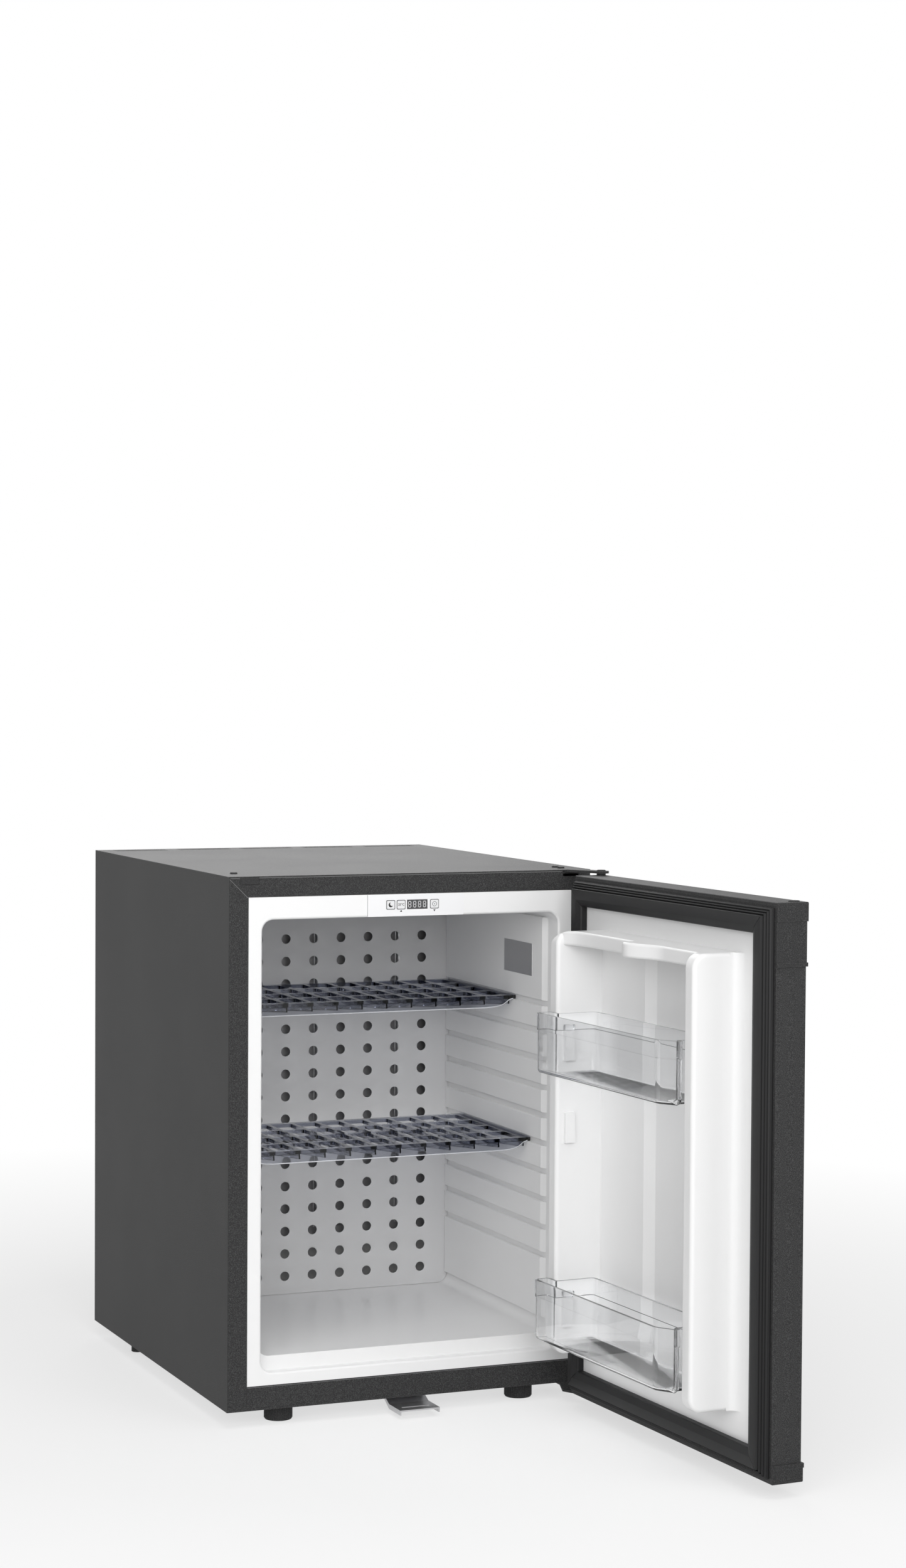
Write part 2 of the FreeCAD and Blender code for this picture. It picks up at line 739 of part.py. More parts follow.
def shelf(front_y, level):
    """Clear shelf: a grid with a deeper front lip whose ends rise to the rim."""
    half = half_cavity - seam
    back_y = front_y + shelf_depth
    top = level + shelf_thickness
    plate = block(-half, half, front_y, back_y, level, top)
    bars = int((2 * half - 2 * shelf_border) / shelf_bar_pitch)
    field = bars * shelf_bar_pitch
    cell = (shelf_depth - shelf_border - shelf_back_border - shelf_cross_bars * shelf_cross_bar)
    cell = cell / (shelf_cross_bars + 1)
    holes = []
    ribs = []
    for column in range(bars):
        x0 = column * shelf_bar_pitch - field / 2 + shelf_bar / 2
        x1 = x0 + shelf_bar_pitch - shelf_bar
        for row in range(shelf_cross_bars + 1):
            y0 = front_y + shelf_border + row * (cell + shelf_cross_bar)
            hole = block(x0, x1, y0, y0 + cell, level - overrun, top + overrun)
            holes.append(soften(hole, shelf_corner, lambda e: runs_along(e, 2)))
    for column in range(bars + 1):
        x = column * shelf_bar_pitch - field / 2
        ribs.append(block(x - shelf_rib_wall / 2, x + shelf_rib_wall / 2, front_y + shelf_lip_wall / 2,
                          back_y - shelf_border, level - shelf_rib_depth, level))
    plate = plate.cut(Part.makeCompound(holes))
    run = shelf_lip_run_out
    low = top - shelf_lip_height
    inner = pad_face - seam
    steps = [(0.0, 0.0), *zip(shelf_lip_place_shares, shelf_lip_fall_shares)]
    points = [Vector(-inner + run * place, front_y, level - (level - low) * fall) for place, fall in steps]
    points += [Vector(-point.x, front_y, point.z) for point in reversed(points)]
    lip = prism(points, Vector(0, shelf_lip_wall, 0))
    return fused([plate, lip] + ribs)


def blank_plate():
    """Bare silver plate on the right wall."""
    y = front + plate_front
    return block(pad_face - plate_thickness, pad_face, y, y + plate_width,
                 plate_bottom, plate_bottom + plate_height)


# Control strip

def control_pocket(gap):
    """Space in the liner flange and the foam for the control box."""
    half = control_box_width / 2 + gap
    middle = button_height
    return block(strip_centre - half, strip_centre + half, front - overrun, front + control_box_depth + gap,
                 middle - control_box_height / 2 - gap, middle + control_box_height / 2 + gap)


def strip_limits():
    """Outline of the control strip as x0, x1, z0, z1."""
    top = frame_top - seam
    return (strip_centre - strip_width / 2, strip_centre + strip_width / 2, top - strip_height, top)


def control_housing():
    """White strip with an open box behind it for the board."""
    x0, x1, z0, z1 = strip_limits()
    start = front + liner_draw - strip_proud
    strip = rounded_block(x0, x1, start, front + liner_draw, z0, z1, strip_corner)
    half = control_box_width / 2 - seam
    middle = button_height
    half_height = control_box_height / 2 - seam
    body = block(strip_centre - half, strip_centre + half, front + liner_draw, front + control_box_depth,
                 middle - half_height, middle + half_height)
    wall = control_box_wall
    hollow = block(strip_centre - half + wall, strip_centre + half - wall, start + strip_wall,
                   front + control_box_depth + overrun, middle - half_height + wall, middle + half_height - wall)
    housing = fused([strip, body]).cut(hollow)
    for x in button_places:
        reach = button_size / 2 + button_gap
        housing = housing.cut(rounded_block(x - reach, x + reach, start - overrun, start + strip_wall + overrun,
                                            middle - reach, middle + reach, button_corner))
    w = display_width / 2 + seam / 2
    h = display_height / 2 + seam / 2
    return housing.cut(block(display_centre - w, display_centre + w, start - overrun,
                             start + strip_wall + overrun, middle - h, middle + h))


def button(x):
    """Square key with a flange that the strip holds back."""
    start = front + liner_draw - strip_proud
    reach = button_size / 2
    key = rounded_block(x - reach, x + reach, start - button_proud, start + button_depth,
                        button_height - reach, button_height + reach, button_corner)
    inner = start + strip_wall + button_gap
    out = button_flange_edge
    flange = block(x - reach, x + reach, inner, inner + button_flange,
                   button_height - reach - out, button_height + reach + out)
    return fused([key, flange])


def display_window():
    """Dark window of the display."""
    start = front + liner_draw - strip_proud
    return block(display_centre - display_width / 2, display_centre + display_width / 2,
                 start, start + display_thickness,
                 button_height - display_height / 2, button_height + display_height / 2)


def control_board():
    """Circuit board across the control box, with the display block and three switches on it."""
    start = front + liner_draw - strip_proud
    half = control_box_width / 2 - seam - control_box_wall - seam / 2
    height = control_box_height / 2 - seam - control_box_wall - seam / 2
    y = start + board_setback
    pieces = [block(strip_centre - half, strip_centre + half, y, y + board_thickness,
                    button_height - height, button_height + height)]
    window_back = start + display_thickness
    pieces.append(block(display_centre - display_width / 2, display_centre + display_width / 2,
                        window_back, y, button_height - display_height / 2, button_height + display_height / 2))
    for x in button_places:
        key_back = start + button_depth + button_travel + button_gap
        pieces.append(block(x - switch_size / 2, x + switch_size / 2, key_back, y,
                            button_height - switch_size / 2, button_height + switch_size / 2))
    return fused(pieces)


def lamp_lens():
    """Diffuser of the inside lamp, under the ceiling just behind the mouth."""
    x0 = strip_centre - lamp_width / 2
    y0 = front + mouth_bead + sill_depth
    lens = block(x0, x0 + lamp_width, y0, y0 + lamp_depth, cavity_top - lamp_thickness, cavity_top)
    return soften(lens, lamp_thickness / 3, lambda e: e.BoundBox.ZMax < cavity_top - lamp_thickness / 2)


# Hinges

def arm_outline(z, back_y):
    """Flat outline of a hinge arm from under the cabinet to round the pin."""
    x0 = hinge_arm_start
    x1 = x0 + hinge_arm_width
    r = hinge_arm_radius
    side = Vector(pin_x + r, pin_y, z)
    start = Vector(pin_x - r, pin_y, z)
    near = front - hinge_joggle_run
    edges = [Part.LineSegment(Vector(x0, back_y, z), Vector(x1, back_y, z)),
             Part.LineSegment(Vector(x1, back_y, z), Vector(x1, near, z)),
             Part.LineSegment(Vector(x1, near, z), side),
             Part.Arc(side, Vector(pin_x, pin_y - r, z), start),
             Part.LineSegment(start, Vector(x0, near, z)),
             Part.LineSegment(Vector(x0, near, z), Vector(x0, back_y, z))]
    return Part.Wire([edge.toShape() for edge in edges])


def hinge_arm(leaf_low, arm_low):
    """Plate hinge: a leaf on the cabinet, a joggle and an arm that holds the pin."""
    x0 = hinge_arm_start
    x1 = x0 + hinge_arm_width
    near = front - hinge_joggle_run
    arm = Part.Face(arm_outline(arm_low, near + seam)).extrude(Vector(0, 0, hinge_plate))
    t = hinge_plate
    points = [Vector(x0, front - seam, leaf_low), Vector(x0, front - seam, leaf_low + t),
              Vector(x0, near + seam, arm_low + t), Vector(x0, near + seam, arm_low)]
    joggle = prism(points, Vector(x1 - x0, 0, 0))
    middle = (x0 + x1) / 2
    leaf = block(x0, x1, front - seam, front + front_frame, leaf_low, leaf_low + t)
    wide = hinge_leaf_width / 2
    foot = block(middle - wide, middle + wide, front + front_frame, front + hinge_leaf_depth, leaf_low, leaf_low + t)
    plate = fused([arm, joggle, leaf, foot])
    return plate.cut(rod(pin_radius + pin_clearance, hinge_plate + 2 * overrun, pin_x, pin_y, arm_low - overrun))


def top_hinge_level():
    """Undersides of the top hinge's leaf and arm."""
    return case_top - sheet - seam / 2 - hinge_plate, door_top + bush_collar_height + hinge_gap


def bottom_hinge_level():
    """Undersides of the bottom hinge's leaf and arm."""
    return -hinge_plate, -door_drop - bush_collar_height - hinge_gap - hinge_plate


def top_hinge_plate():
    """Top hinge, with two holes for its screws."""
    plate = hinge_arm(*top_hinge_level())
    for x, y in hinge_screw_places():
        plate = plate.cut(rod(screw_radius + pin_clearance, cabinet_height, x, y, 0))
    return plate


def bottom_hinge_plate():
    """Bottom hinge, screwed under the base."""
    plate = hinge_arm(*bottom_hinge_level())
    for x, y in hinge_screw_places():
        plate = plate.cut(rod(screw_radius + pin_clearance, cabinet_height, x, y, -half_width))
    return plate


def hinge_screw_places():
    """Two screws through each hinge's leaf."""
    middle = hinge_arm_start + hinge_arm_width / 2
    return [(middle, front + hinge_screw_setback), (middle, front + hinge_screw_setback + hinge_screw_pitch)]


def hinge_screws():
    """Screws of both hinges: down through the top panel, and up through the lower leaf."""
    screws = [machine_screw(x, y, cabinet_height) for x, y in hinge_screw_places()]
    screws += [machine_screw(x, y, bottom_hinge_level()[0], -1) for x, y in hinge_screw_places()]
    return Part.makeCompound(screws)


def hinge_pins():
    """Two equal pins, headed outside the arms, that the door turns on."""
    top_arm = top_hinge_level()[1]
    low_arm = bottom_hinge_level()[1]
    pins = []
    for head_z, way in ((top_arm + hinge_plate, -1), (low_arm, 1)):
        head = rod(pin_head_radius, pin_head_height, pin_x, pin_y, head_z, Vector(0, 0, -way))
        shaft = rod(pin_radius, hinge_plate + pin_engagement, pin_x, pin_y, head_z, Vector(0, 0, way))
        pins.append(fused([head, shaft]))
    return Part.makeCompound(pins)


def slot_cover():
    """Cap over the spare hinge slot at the left end of the top rail."""
    middle = -(hinge_arm_start + hinge_arm_width / 2)
    w = slot_cover_width / 2
    top = cabinet_height - slot_cover_drop
    plate = block(middle - w, middle + w, front - slot_cover_proud, front, top - slot_cover_height, top)
    plate = soften(plate, slot_cover_proud / 2, lambda e: e.BoundBox.YMax < front - slot_cover_proud / 2)
    grip = hinge_arm_width / 2
    tongue = block(middle - grip, middle + grip, front, front + frame_return / 2,
                   top - slot_cover_height + slot_cover_drop, top - seam)
    return fused([plate, tongue])


# Fixing bracket and feet

def bracket_screw_places():
    """Two screws up through the bracket's leaf."""
    y = front + bracket_leaf_setback + bracket_leaf / 2
    return [(-bracket_width / 4, y), (bracket_width / 4, y)]


def fixing_bracket():
    """Steel tongue that reaches out under the door, with turned-down sides and a slot."""
    t = bracket_sheet
    half = bracket_width / 2
    y0 = front + bracket_leaf_setback + bracket_leaf
    y1 = front + bracket_leaf_setback
    y2 = y1 - bracket_slope
    y3 = y2 - bracket_tongue
    top = [Vector(-half, y0, 0), Vector(-half, y1, 0), Vector(-half, y2, -bracket_drop), Vector(-half, y3, -bracket_drop)]
    low = [Vector(-half, p.y, p.z - t) for p in reversed(top)]
    tongue = prism(top + low, Vector(bracket_width, 0, 0))
    cheeks = []
    for x in (-half, half - t):
        cheek = [Vector(x, y1, 0), Vector(x, y2, -bracket_drop), Vector(x, y3, -bracket_drop),
                 Vector(x, y3, -bracket_drop - bracket_flange), Vector(x, y2, -bracket_drop - bracket_flange),
                 Vector(x, y1, -2 * t)]
        cheeks.append(prism(cheek, Vector(t, 0, 0)))
    bracket = fused([tongue] + cheeks)
    straight = (bracket_slot_length - bracket_slot_width) / 2
    y = y3 + bracket_slot_setback
    r = bracket_slot_width / 2
    slot = block(-straight, straight, y - r, y + r, -foot_height, 0)
    for x in (-straight, straight):
        slot = slot.fuse(rod(r, foot_height, x, y, -foot_height))
    bracket = bracket.cut(slot)
    for x, y in bracket_screw_places():
        bracket = bracket.cut(rod(screw_radius + pin_clearance, bracket_width, x, y, -half))
    return bracket


def bracket_screws():
    """The fixing bracket's two screws."""
    screws = []
    for x, y in bracket_screw_places():
        screws.append(machine_screw(x, y, -bracket_sheet, -1))
    return Part.makeCompound(screws)


def front_foot_place(side):
    """Plan place of a front foot, side -1 for left and 1 for right."""
    return side * (half_width - foot_inset_x), front + foot_setback


def front_foot(side):
    """Levelling foot: ribbed knob, wider collar and threaded stud."""
    x, y = front_foot_place(side)
    top = -foot_gap
    knob = rod(foot_radius, foot_height - foot_gap, x, y, -foot_height)
    knob = soften(knob, foot_rib_radius, lambda e: e.BoundBox.ZMax < -foot_height / 2
                  and e.Curve.TypeId == "Part::GeomCircle")
    collar = rod(foot_collar_radius, foot_collar_height, x, y, top - foot_collar_height)
    ribs = []
    for index in range(foot_rib_count):
        angle = 2 * math.pi * index / foot_rib_count
        ribs.append(rod(foot_rib_radius, foot_height - foot_gap - foot_collar_height - 2 * foot_rib_radius,
                        x + foot_radius * math.cos(angle), y + foot_radius * math.sin(angle),
                        -foot_height + 2 * foot_rib_radius))
    stud = rod(stud_radius, stud_length, x, y, top)
    return fused([knob, collar, stud] + ribs)


def foot_nuts():
    """Two nuts welded on the base for the feet's studs."""
    nuts = []
    for side in (-1, 1):
        x, y = front_foot_place(side)
        corners = []
        for index in range(6):
            angle = math.pi * index / 3
            corners.append(Vector(x + nut_radius * math.cos(angle), y + nut_radius * math.sin(angle), sheet))
        nut = prism(corners, Vector(0, 0, nut_height))
        nuts.append(nut.cut(rod(stud_radius + stud_clearance, nut_height + 2 * overrun, x, y, sheet - overrun)))
    return Part.makeCompound(nuts)


def rear_feet():
    """Two plain feet under the back of the insulated box."""
    feet = []
    for side in (-1, 1):
        x = side * (half_width - rear_foot_inset_x)
        foot = rod(rear_foot_radius, foot_height, x, rear - rear_foot_from_back, -foot_height)
        feet.append(soften(foot, foot_rib_radius, lambda e: e.BoundBox.ZMax < -foot_height / 2
                           and e.Curve.TypeId == "Part::GeomCircle"))
    return Part.makeCompound(feet)


# Door, drawn closed and then swung open

def dv(u, t, z):
    """Point on the closed door: u from the hinge end, t from the outer face."""
    return Vector(half_width - u, door_outer + t, z)


def door_block(u0, u1, t0, t1, z0, z1):
    """Box in the door's own measures."""
    return block(half_width - u1, half_width - u0, door_outer + t0, door_outer + t1, z0, z1)


def swing(shape):
    """Turns a closed-door shape to the pose in which the door is kept."""
    turned = shape.copy()
    turned.rotate(Vector(pin_x, pin_y, 0), Vector(0, 0, 1), door_open_angle)
    return turned


def pin_bore(radius):
    """Cutter on the hinge line through the whole door."""
    return rod(radius, cabinet_height + half_width, pin_x, pin_y, -half_width / 2)


def plug_place():
    """Plan place of the plug at the closed door's free end."""
    return half_width - door_width + plug_inset_x, door_outer + plug_inset_y


def door_skin():
    """Outer steel pan of the door."""
    w = cap_wall
    low = -door_drop + cap_plate
    high = door_top - cap_plate
    outer = door_block(w, door_width - w, w, door_thickness, low, high)
    outer = soften(outer, door_edge_radius, lambda e: runs_along(e, 2) and e.BoundBox.YMax < door_outer + 2 * w)
    inner = door_block(w + sheet, door_width - w - sheet, w + sheet, door_thickness - sheet,
                       low - overrun, high + overrun)
    lip = w + door_return
    window = door_block(lip, door_width - lip, door_thickness - sheet - overrun, door_thickness + overrun,
                        low + lip, high - lip)
    pan = outer.cut(inner).cut(window)
    notch = bush_radius() + seam
    for z in (-door_drop, door_top - pin_engagement - seam):
        pan = pan.cut(rod(notch, pin_engagement + seam, pin_x, pin_y, z))
    x, y = plug_place()
    return pan.cut(rod(notch, plug_stem + seam, x, y, door_top - plug_stem - seam))


def door_cap(z_end, way):
    """Moulded end cap, way 1 for the top of the door and -1 for the bottom."""
    reach = z_end - way * cap_height
    z0, z1 = min(z_end, reach), max(z_end, reach)
    outer = door_block(0, door_width, 0, door_thickness, z0, z1)
    outer = soften(outer, door_edge_radius, lambda e: runs_along(e, 2)
                   or abs((e.BoundBox.ZMax if way > 0 else e.BoundBox.ZMin) - z_end) < seam / 10
                   and abs(e.BoundBox.ZMax - e.BoundBox.ZMin) < seam / 10)
    plate_z = z_end - way * cap_plate
    w = cap_wall
    hollow = door_block(w, door_width - w, w, door_thickness + overrun,
                        min(plate_z, plate_z - way * half_width), max(plate_z, plate_z - way * half_width))
    cap = outer.cut(hollow)
    if way < 0:
        ridge = door_block(-seam, door_width + seam, -seam, door_thickness, reach - bottom_ridge, reach)
        ridge = ridge.cut(door_block(w, door_width - w, w, door_thickness + overrun, reach - half_width, reach + overrun))
        cap = fused([cap, ridge])
    bush = bush_radius() + seam / 2
    cap = cap.cut(pin_bore(bush))
    x, y = plug_place()
    return cap.cut(rod(bush, 2 * cap_height, x, y, z_end - cap_height)) if way > 0 else cap


def bush_radius():
    """Outside of a hinge bush."""
    return pin_radius + pin_clearance + bush_wall


def door_grip():
    """Smooth band under the top cap that ends in a finger ridge."""
    w = cap_wall
    high = door_top - cap_height - seam
    low = high - grip_height
    ridge = low - grip_ridge
    off = w - grip_plate
    band = door_block(off, door_width - off, off, door_thickness, low, high)
    band = soften(band, door_edge_radius, lambda e: runs_along(e, 2) and e.BoundBox.YMax < door_outer + 2 * w)
    lip = door_block(0, door_width, 0, door_thickness, ridge, low)
    lip = soften(lip, door_edge_radius, lambda e: runs_along(e, 2) and e.BoundBox.YMax < door_outer + 2 * w)
    return fused([band, lip]).cut(door_block(w, door_width - w, w, door_thickness + overrun,
                                             ridge - overrun, high + overrun))


def smooth_edge(points):
    """One smooth curve through points."""
    curve = Part.BSplineCurve()
    curve.interpolate(points)
    return curve.toShape()


def top_bar():
    """Bar across the posts' tops; its face leaves one post in a sweep and swells to a nose."""
    base = door_thickness - door_liner_wall
    low = post_top - top_bar_height
    inner = hinge_post_start + post_width
    free = free_post_start + post_width / 2
    root = [dv(inner + place * post_span, bar_hinge_reach + rise * (bar_root_reach - bar_hinge_reach), low)
            for place, rise in zip(bar_root_place_shares, bar_root_rise_shares)]
    nose = [dv(nose_start, bar_hinge_reach, low)]
    nose += [dv(nose_start + place * nose_length, top_bar_reach + rise * (nose_reach - top_bar_reach), low)
             for place, rise in zip(nose_place_shares, nose_rise_shares)]
    ends = [dv(free, top_bar_reach, low), dv(free, base, low),
            dv(inner + bar_root_place_shares[0] * post_span, base, low)]
    path = [nose[-1]] + ends + [root[0]]
    edges = [smooth_edge(root), Part.makeLine(root[-1], nose[0]), smooth_edge(nose)]
    edges += [Part.makeLine(a, b) for a, b in zip(path, path[1:])]
    bar = Part.Face(Part.Wire(edges)).extrude(Vector(0, 0, top_bar_height))
    face = door_outer + bar_hinge_reach - seam
    return soften(bar, bar_edge, lambda e: e.BoundBox.YMin > face and not runs_along(e, 2))


def post_feet():
    """Hollow rounds that lead the posts' outer sides into the pan."""
    r = post_foot_radius
    feet = []
    for side, way, high in ((hinge_post_start, -1, post_top - post_corner),
                            (free_post_start + post_width, 1, post_top)):
        near, far = sorted((side, side + way * r))
        foot = door_block(near, far, lined, lined + r, post_bottom, high)
        centre = dv(side + way * r, lined + r, post_bottom - overrun)
        feet.append(foot.cut(Part.makeCylinder(r, high - post_bottom + 2 * overrun, centre)))
    return feet


def liner_posts():
    """Two posts and the bar across their tops, as solid blocks."""
    pieces = []
    base = door_thickness - door_liner_wall
    for start in (hinge_post_start, free_post_start):
        post = door_block(start, start + post_width, base, post_reach, post_bottom, post_top)
        tip = door_outer + post_reach
        post = soften(post, post_end_radius, lambda e: runs_along(e, 0) and e.BoundBox.YMax > tip - seam)
        post = soften(post, post_edge, lambda e: e.BoundBox.YMax > tip - seam
                      and e.BoundBox.YMin > tip - post_end_radius - seam and not runs_along(e, 0))
        pieces.append(post)
    pieces.append(top_bar())
    r = post_corner
    u = hinge_post_start
    corner = door_block(u - overrun, u + r, base - overrun, post_reach + overrun, post_top - r, post_top + overrun)
    centre = dv(u + r, base - 2 * overrun, post_top - r)
    round_off = corner.cut(Part.makeCylinder(r, post_reach + overrun, centre, Vector(0, 1, 0)))
    return [fused(pieces).cut(round_off)] + post_feet()


def liner_lugs():
    """Lugs on the posts' inner sides that the baskets hang on."""
    lugs = []
    for low in lug_bottoms:
        for u0 in (hinge_post_start + post_width - lug_edge, free_post_start - lug_out):
            lug = door_block(u0, u0 + lug_out + lug_edge, lug_reach, lug_reach + lug_width, low, low + lug_height)
            lugs.append(lug)
    return lugs


def recess_body(grow):
    """Hollow between the posts, with a shallow step on the hinge side."""
    u0 = hinge_post_start + post_width - grow
    u1 = free_post_start + grow
    z0 = post_bottom + recess_margin - grow
    z1 = post_top - top_bar_height + grow
    deep = lined - recess_depth - grow
    shallow = lined - recess_step_depth - grow
    top = lined + overrun
    s = recess_step_at
    run = recess_step_run
    points = [dv(u0, top, z0), dv(u0, shallow, z0), dv(s, shallow, z0), dv(s + run, deep, z0),
              dv(u1, deep, z0), dv(u1, top, z0)]
    return prism(points, Vector(0, 0, z1 - z0))


def door_liner():
    """White inner panel of the door with posts, top bar, recess and basket lugs."""
    m = door_liner_margin
    z0 = -door_drop + m
    z1 = door_top - m
    pan = door_block(m, door_width - m, door_thickness, lined, z0, z1)
    tub = recess_body(door_liner_wall)
    tub = tub.cut(door_block(-overrun, door_width + overrun, lined, post_reach + overrun, -half_width, cabinet_height))
    liner = fused([pan, tub] + liner_posts())
    return fused([liner.cut(recess_body(0))] + liner_lugs())


def door_foam():
    """Foam inside the door."""
    w = cap_wall + sheet
    low = cap_plate - door_drop
    high = door_top - cap_plate
    foam = door_block(w, door_width - w, w, door_thickness - sheet, low, high)
    lip = cap_wall + door_return
    core = door_block(lip, door_width - lip, w, door_thickness, low + lip, high - lip)
    foam = fused([foam, core])
    posts = fused([door_block(s - seam, s + post_width + seam, door_thickness - door_liner_wall - seam,
                              door_thickness + overrun, post_bottom - seam, post_top + seam)
                   for s in (hinge_post_start, free_post_start)])
    bar = door_block(hinge_post_start, free_post_start + post_width, door_thickness - door_liner_wall - seam,
                     door_thickness + overrun, post_top - top_bar_height - seam, post_top + seam)
    foam = foam.cut(recess_body(door_liner_wall + seam / 2)).cut(posts).cut(bar)
    hole = bush_radius() + 2 * seam
    deep = pin_engagement + 2 * bush_wall
    for z in (-door_drop, door_top - deep):
        foam = foam.cut(rod(hole, deep, pin_x, pin_y, z))
    x, y = plug_place()
    return foam.cut(rod(hole, deep, x, y, door_top - deep))


def gasket_profile():
    """Cross-section of the gasket: distance from the door's edge, height over the door liner."""
    w = gasket_width
    h = gasket_height
    rim = gasket_margin - gasket_skirt
    wrap = rim + gasket_skirt_wall
    points = [(wrap, 0), (wrap, -door_liner_wall), (rim, -door_liner_wall), (rim, gasket_skirt_height),
              (gasket_margin, gasket_skirt_height)]
    for place, height in zip(gasket_fin_place_shares, gasket_fin_height_shares):
        points.append((gasket_margin + place * w, height * h))
    points.append((gasket_margin + gasket_magnet_start_share * w, h))
    points.append((gasket_margin + gasket_magnet_end_share * w, h))
    points.append((gasket_margin + w, gasket_lip_height))
    points.append((gasket_margin + w, 0))
    return points


def door_gasket():
    """Magnetic gasket round the door, mitred at the corners."""
    profile = gasket_profile()
    z0 = -door_drop
    z1 = door_top
    tall = gasket_height + door_liner_wall
    foot = door_thickness
    sides = []
    for flip in (False, True):
        face = [dv(door_width - m if flip else m, lined + h, z0) for m, h in profile]
        run = prism(face, Vector(0, 0, z1 - z0))
        reach = door_width / 2
        edge = door_width if flip else 0
        inward = -reach if flip else reach
        cut = [dv(edge, foot, z0), dv(edge + inward, foot, z0 + reach), dv(edge + inward, foot, z1 - reach),
               dv(edge, foot, z1)]
        sides.append(run.common(prism(cut, Vector(0, tall, 0))))
    for flip in (False, True):
        face = [dv(0, lined + h, z1 - m if flip else z0 + m) for m, h in profile]
        run = prism(face, Vector(-door_width, 0, 0))
        edge = z1 if flip else z0
        reach = door_width / 2
        inward = -reach if flip else reach
        cut = [dv(0, foot, edge), dv(reach, foot, edge + inward), dv(door_width, foot, edge)]
        sides.append(run.common(prism(cut, Vector(0, tall, 0))))
    return fused(sides)


def hinge_bushes():
    """Plastic bushes that run on the hinge pins; the upper one has a collar under the arm."""
    bushes = []
    for end, way in ((door_top, 1), (-door_drop, -1)):
        body = rod(bush_radius(), pin_engagement, pin_x, pin_y, end, Vector(0, 0, -way))
        collar = rod(bush_collar_radius, bush_collar_height, pin_x, pin_y, end, Vector(0, 0, way))
        bushes.append(fused([body, collar]).cut(pin_bore(pin_radius + pin_clearance)))
    return Part.makeCompound(bushes)


def door_plug():
    """Plug in the spare hinge hole at the free end of the top cap."""
    x, y = plug_place()
    disc = rod(plug_radius, plug_height, x, y, door_top)
    disc = soften(disc, plug_height / 2, lambda e: e.BoundBox.ZMin > door_top + plug_height / 2
                  and e.Curve.TypeId == "Part::GeomCircle")
    return fused([disc, rod(bush_radius(), plug_stem, x, y, door_top, Vector(0, 0, -1))])


# Door baskets

def basket_points(inset, z):
    """Plan of a basket, drawn inwards by an inset: wide in front of the posts, narrow between them."""
    u0 = basket_start + inset
    u1 = basket_end - inset
    near = post_reach + basket_seat_gap + inset
    far = basket_reach - inset
    n0 = hinge_post_start + post_width + basket_post_gap + inset
    n1 = free_post_start - basket_post_gap - inset
    back = lined + basket_back_gap + inset
    slope = basket_chamfer_depth / basket_chamfer_length
    slant = math.hypot(basket_chamfer_depth, basket_chamfer_length)
    corner = basket_reach - basket_chamfer_depth - inset * slant / basket_chamfer_length
    turn = basket_end - (far - corner) / slope
    tip = corner + slope * inset
    side = [(u1, tip), (u1, near)] if tip > near + seam else [(basket_end - (near - corner) / slope, near)]
    plan = [(u0, near), (u0, far), (turn, far)] + side + [(n1, near), (n1, back), (n0, back), (n0, near)]
    return [dv(u, t, z) for u, t in plan]


def basket(low):
    """Clear door basket with a thicker rim band and hooks over the lugs."""
    high = low + basket_height
    rim = high - basket_rim_height
    step = basket_rim_step
    lower = prism(basket_points(step, low), Vector(0, 0, rim - low))
    foot = low + basket_wall
    tip = door_outer + basket_reach
    lower = soften(lower, basket_wall, lambda e: e.BoundBox.ZMax < foot and e.BoundBox.YMax > tip - basket_chamfer_depth)
    upper = prism(basket_points(0, rim), Vector(0, 0, basket_rim_height))
    hollow = prism(basket_points(step + basket_wall, foot), Vector(0, 0, basket_height))
    tray = fused([lower, upper]).cut(hollow)
    hooks = []
    z0 = low + lug_rise + lug_height + seam
    side = hinge_post_start + post_width
    inside = basket_post_gap + step
    for u0, u1 in ((side + hook_overlap, side + inside),
                   (free_post_start - inside, free_post_start - hook_overlap)):
        hooks.append(door_block(u0, u1, lug_reach, lug_reach + lug_width, z0, z0 + hook_height))
    return fused([tray] + hooks)


# Machine space

def pipe(points, radius, bend):
    """Round pipe along straight runs with arcs of one bend radius."""
    edges = []
    start = points[0]
    for index in range(1, len(points) - 1):
        here = points[index]
        back = (points[index - 1] - here).normalize()
        ahead = (points[index + 1] - here).normalize()
        half = back.getAngle(ahead) / 2
        trim = bend / math.tan(half)
        a = here + back * trim
        b = here + ahead * trim
        centre = here + (back + ahead).normalize() * (bend / math.sin(half))
        middle = centre + (here - centre).normalize() * bend
        edges.append(Part.LineSegment(start, a).toShape())
        edges.append(Part.Arc(a, middle, b).toShape())
        start = b
    edges.append(Part.LineSegment(start, points[-1]).toShape())
    path = Part.Wire(edges)
    first = (points[1] - points[0]).normalize()
    ring = Part.Wire(Part.makeCircle(radius, points[0], first))
    return path.makePipeShell([ring], True, False)


def condenser_y():
    """Plane of the condenser tube."""
    return rear - condenser_from_back


def condenser_tube():
    """One serpentine tube with level runs and half-round ends."""
    y = condenser_y()
    half = condenser_half_span
    bend = condenser_pitch / 2
    edges = []
    for run in range(condenser_runs):
        z = condenser_bottom + run * condenser_pitch
        side = 1 if run % 2 == 0 else -1
        edges.append(Part.LineSegment(Vector(-side * half, y, z), Vector(side * half, y, z)).toShape())
        if run < condenser_runs - 1:
            edges.append(Part.Arc(Vector(side * half, y, z), Vector(side * (half + bend), y, z + bend),
                                  Vector(side * half, y, z + condenser_pitch)).toShape())
    ring = Part.Wire(Part.makeCircle(condenser_tube_radius, Vector(-half, y, condenser_bottom), Vector(1, 0, 0)))
    return Part.Wire(edges).makePipeShell([ring], True, False)


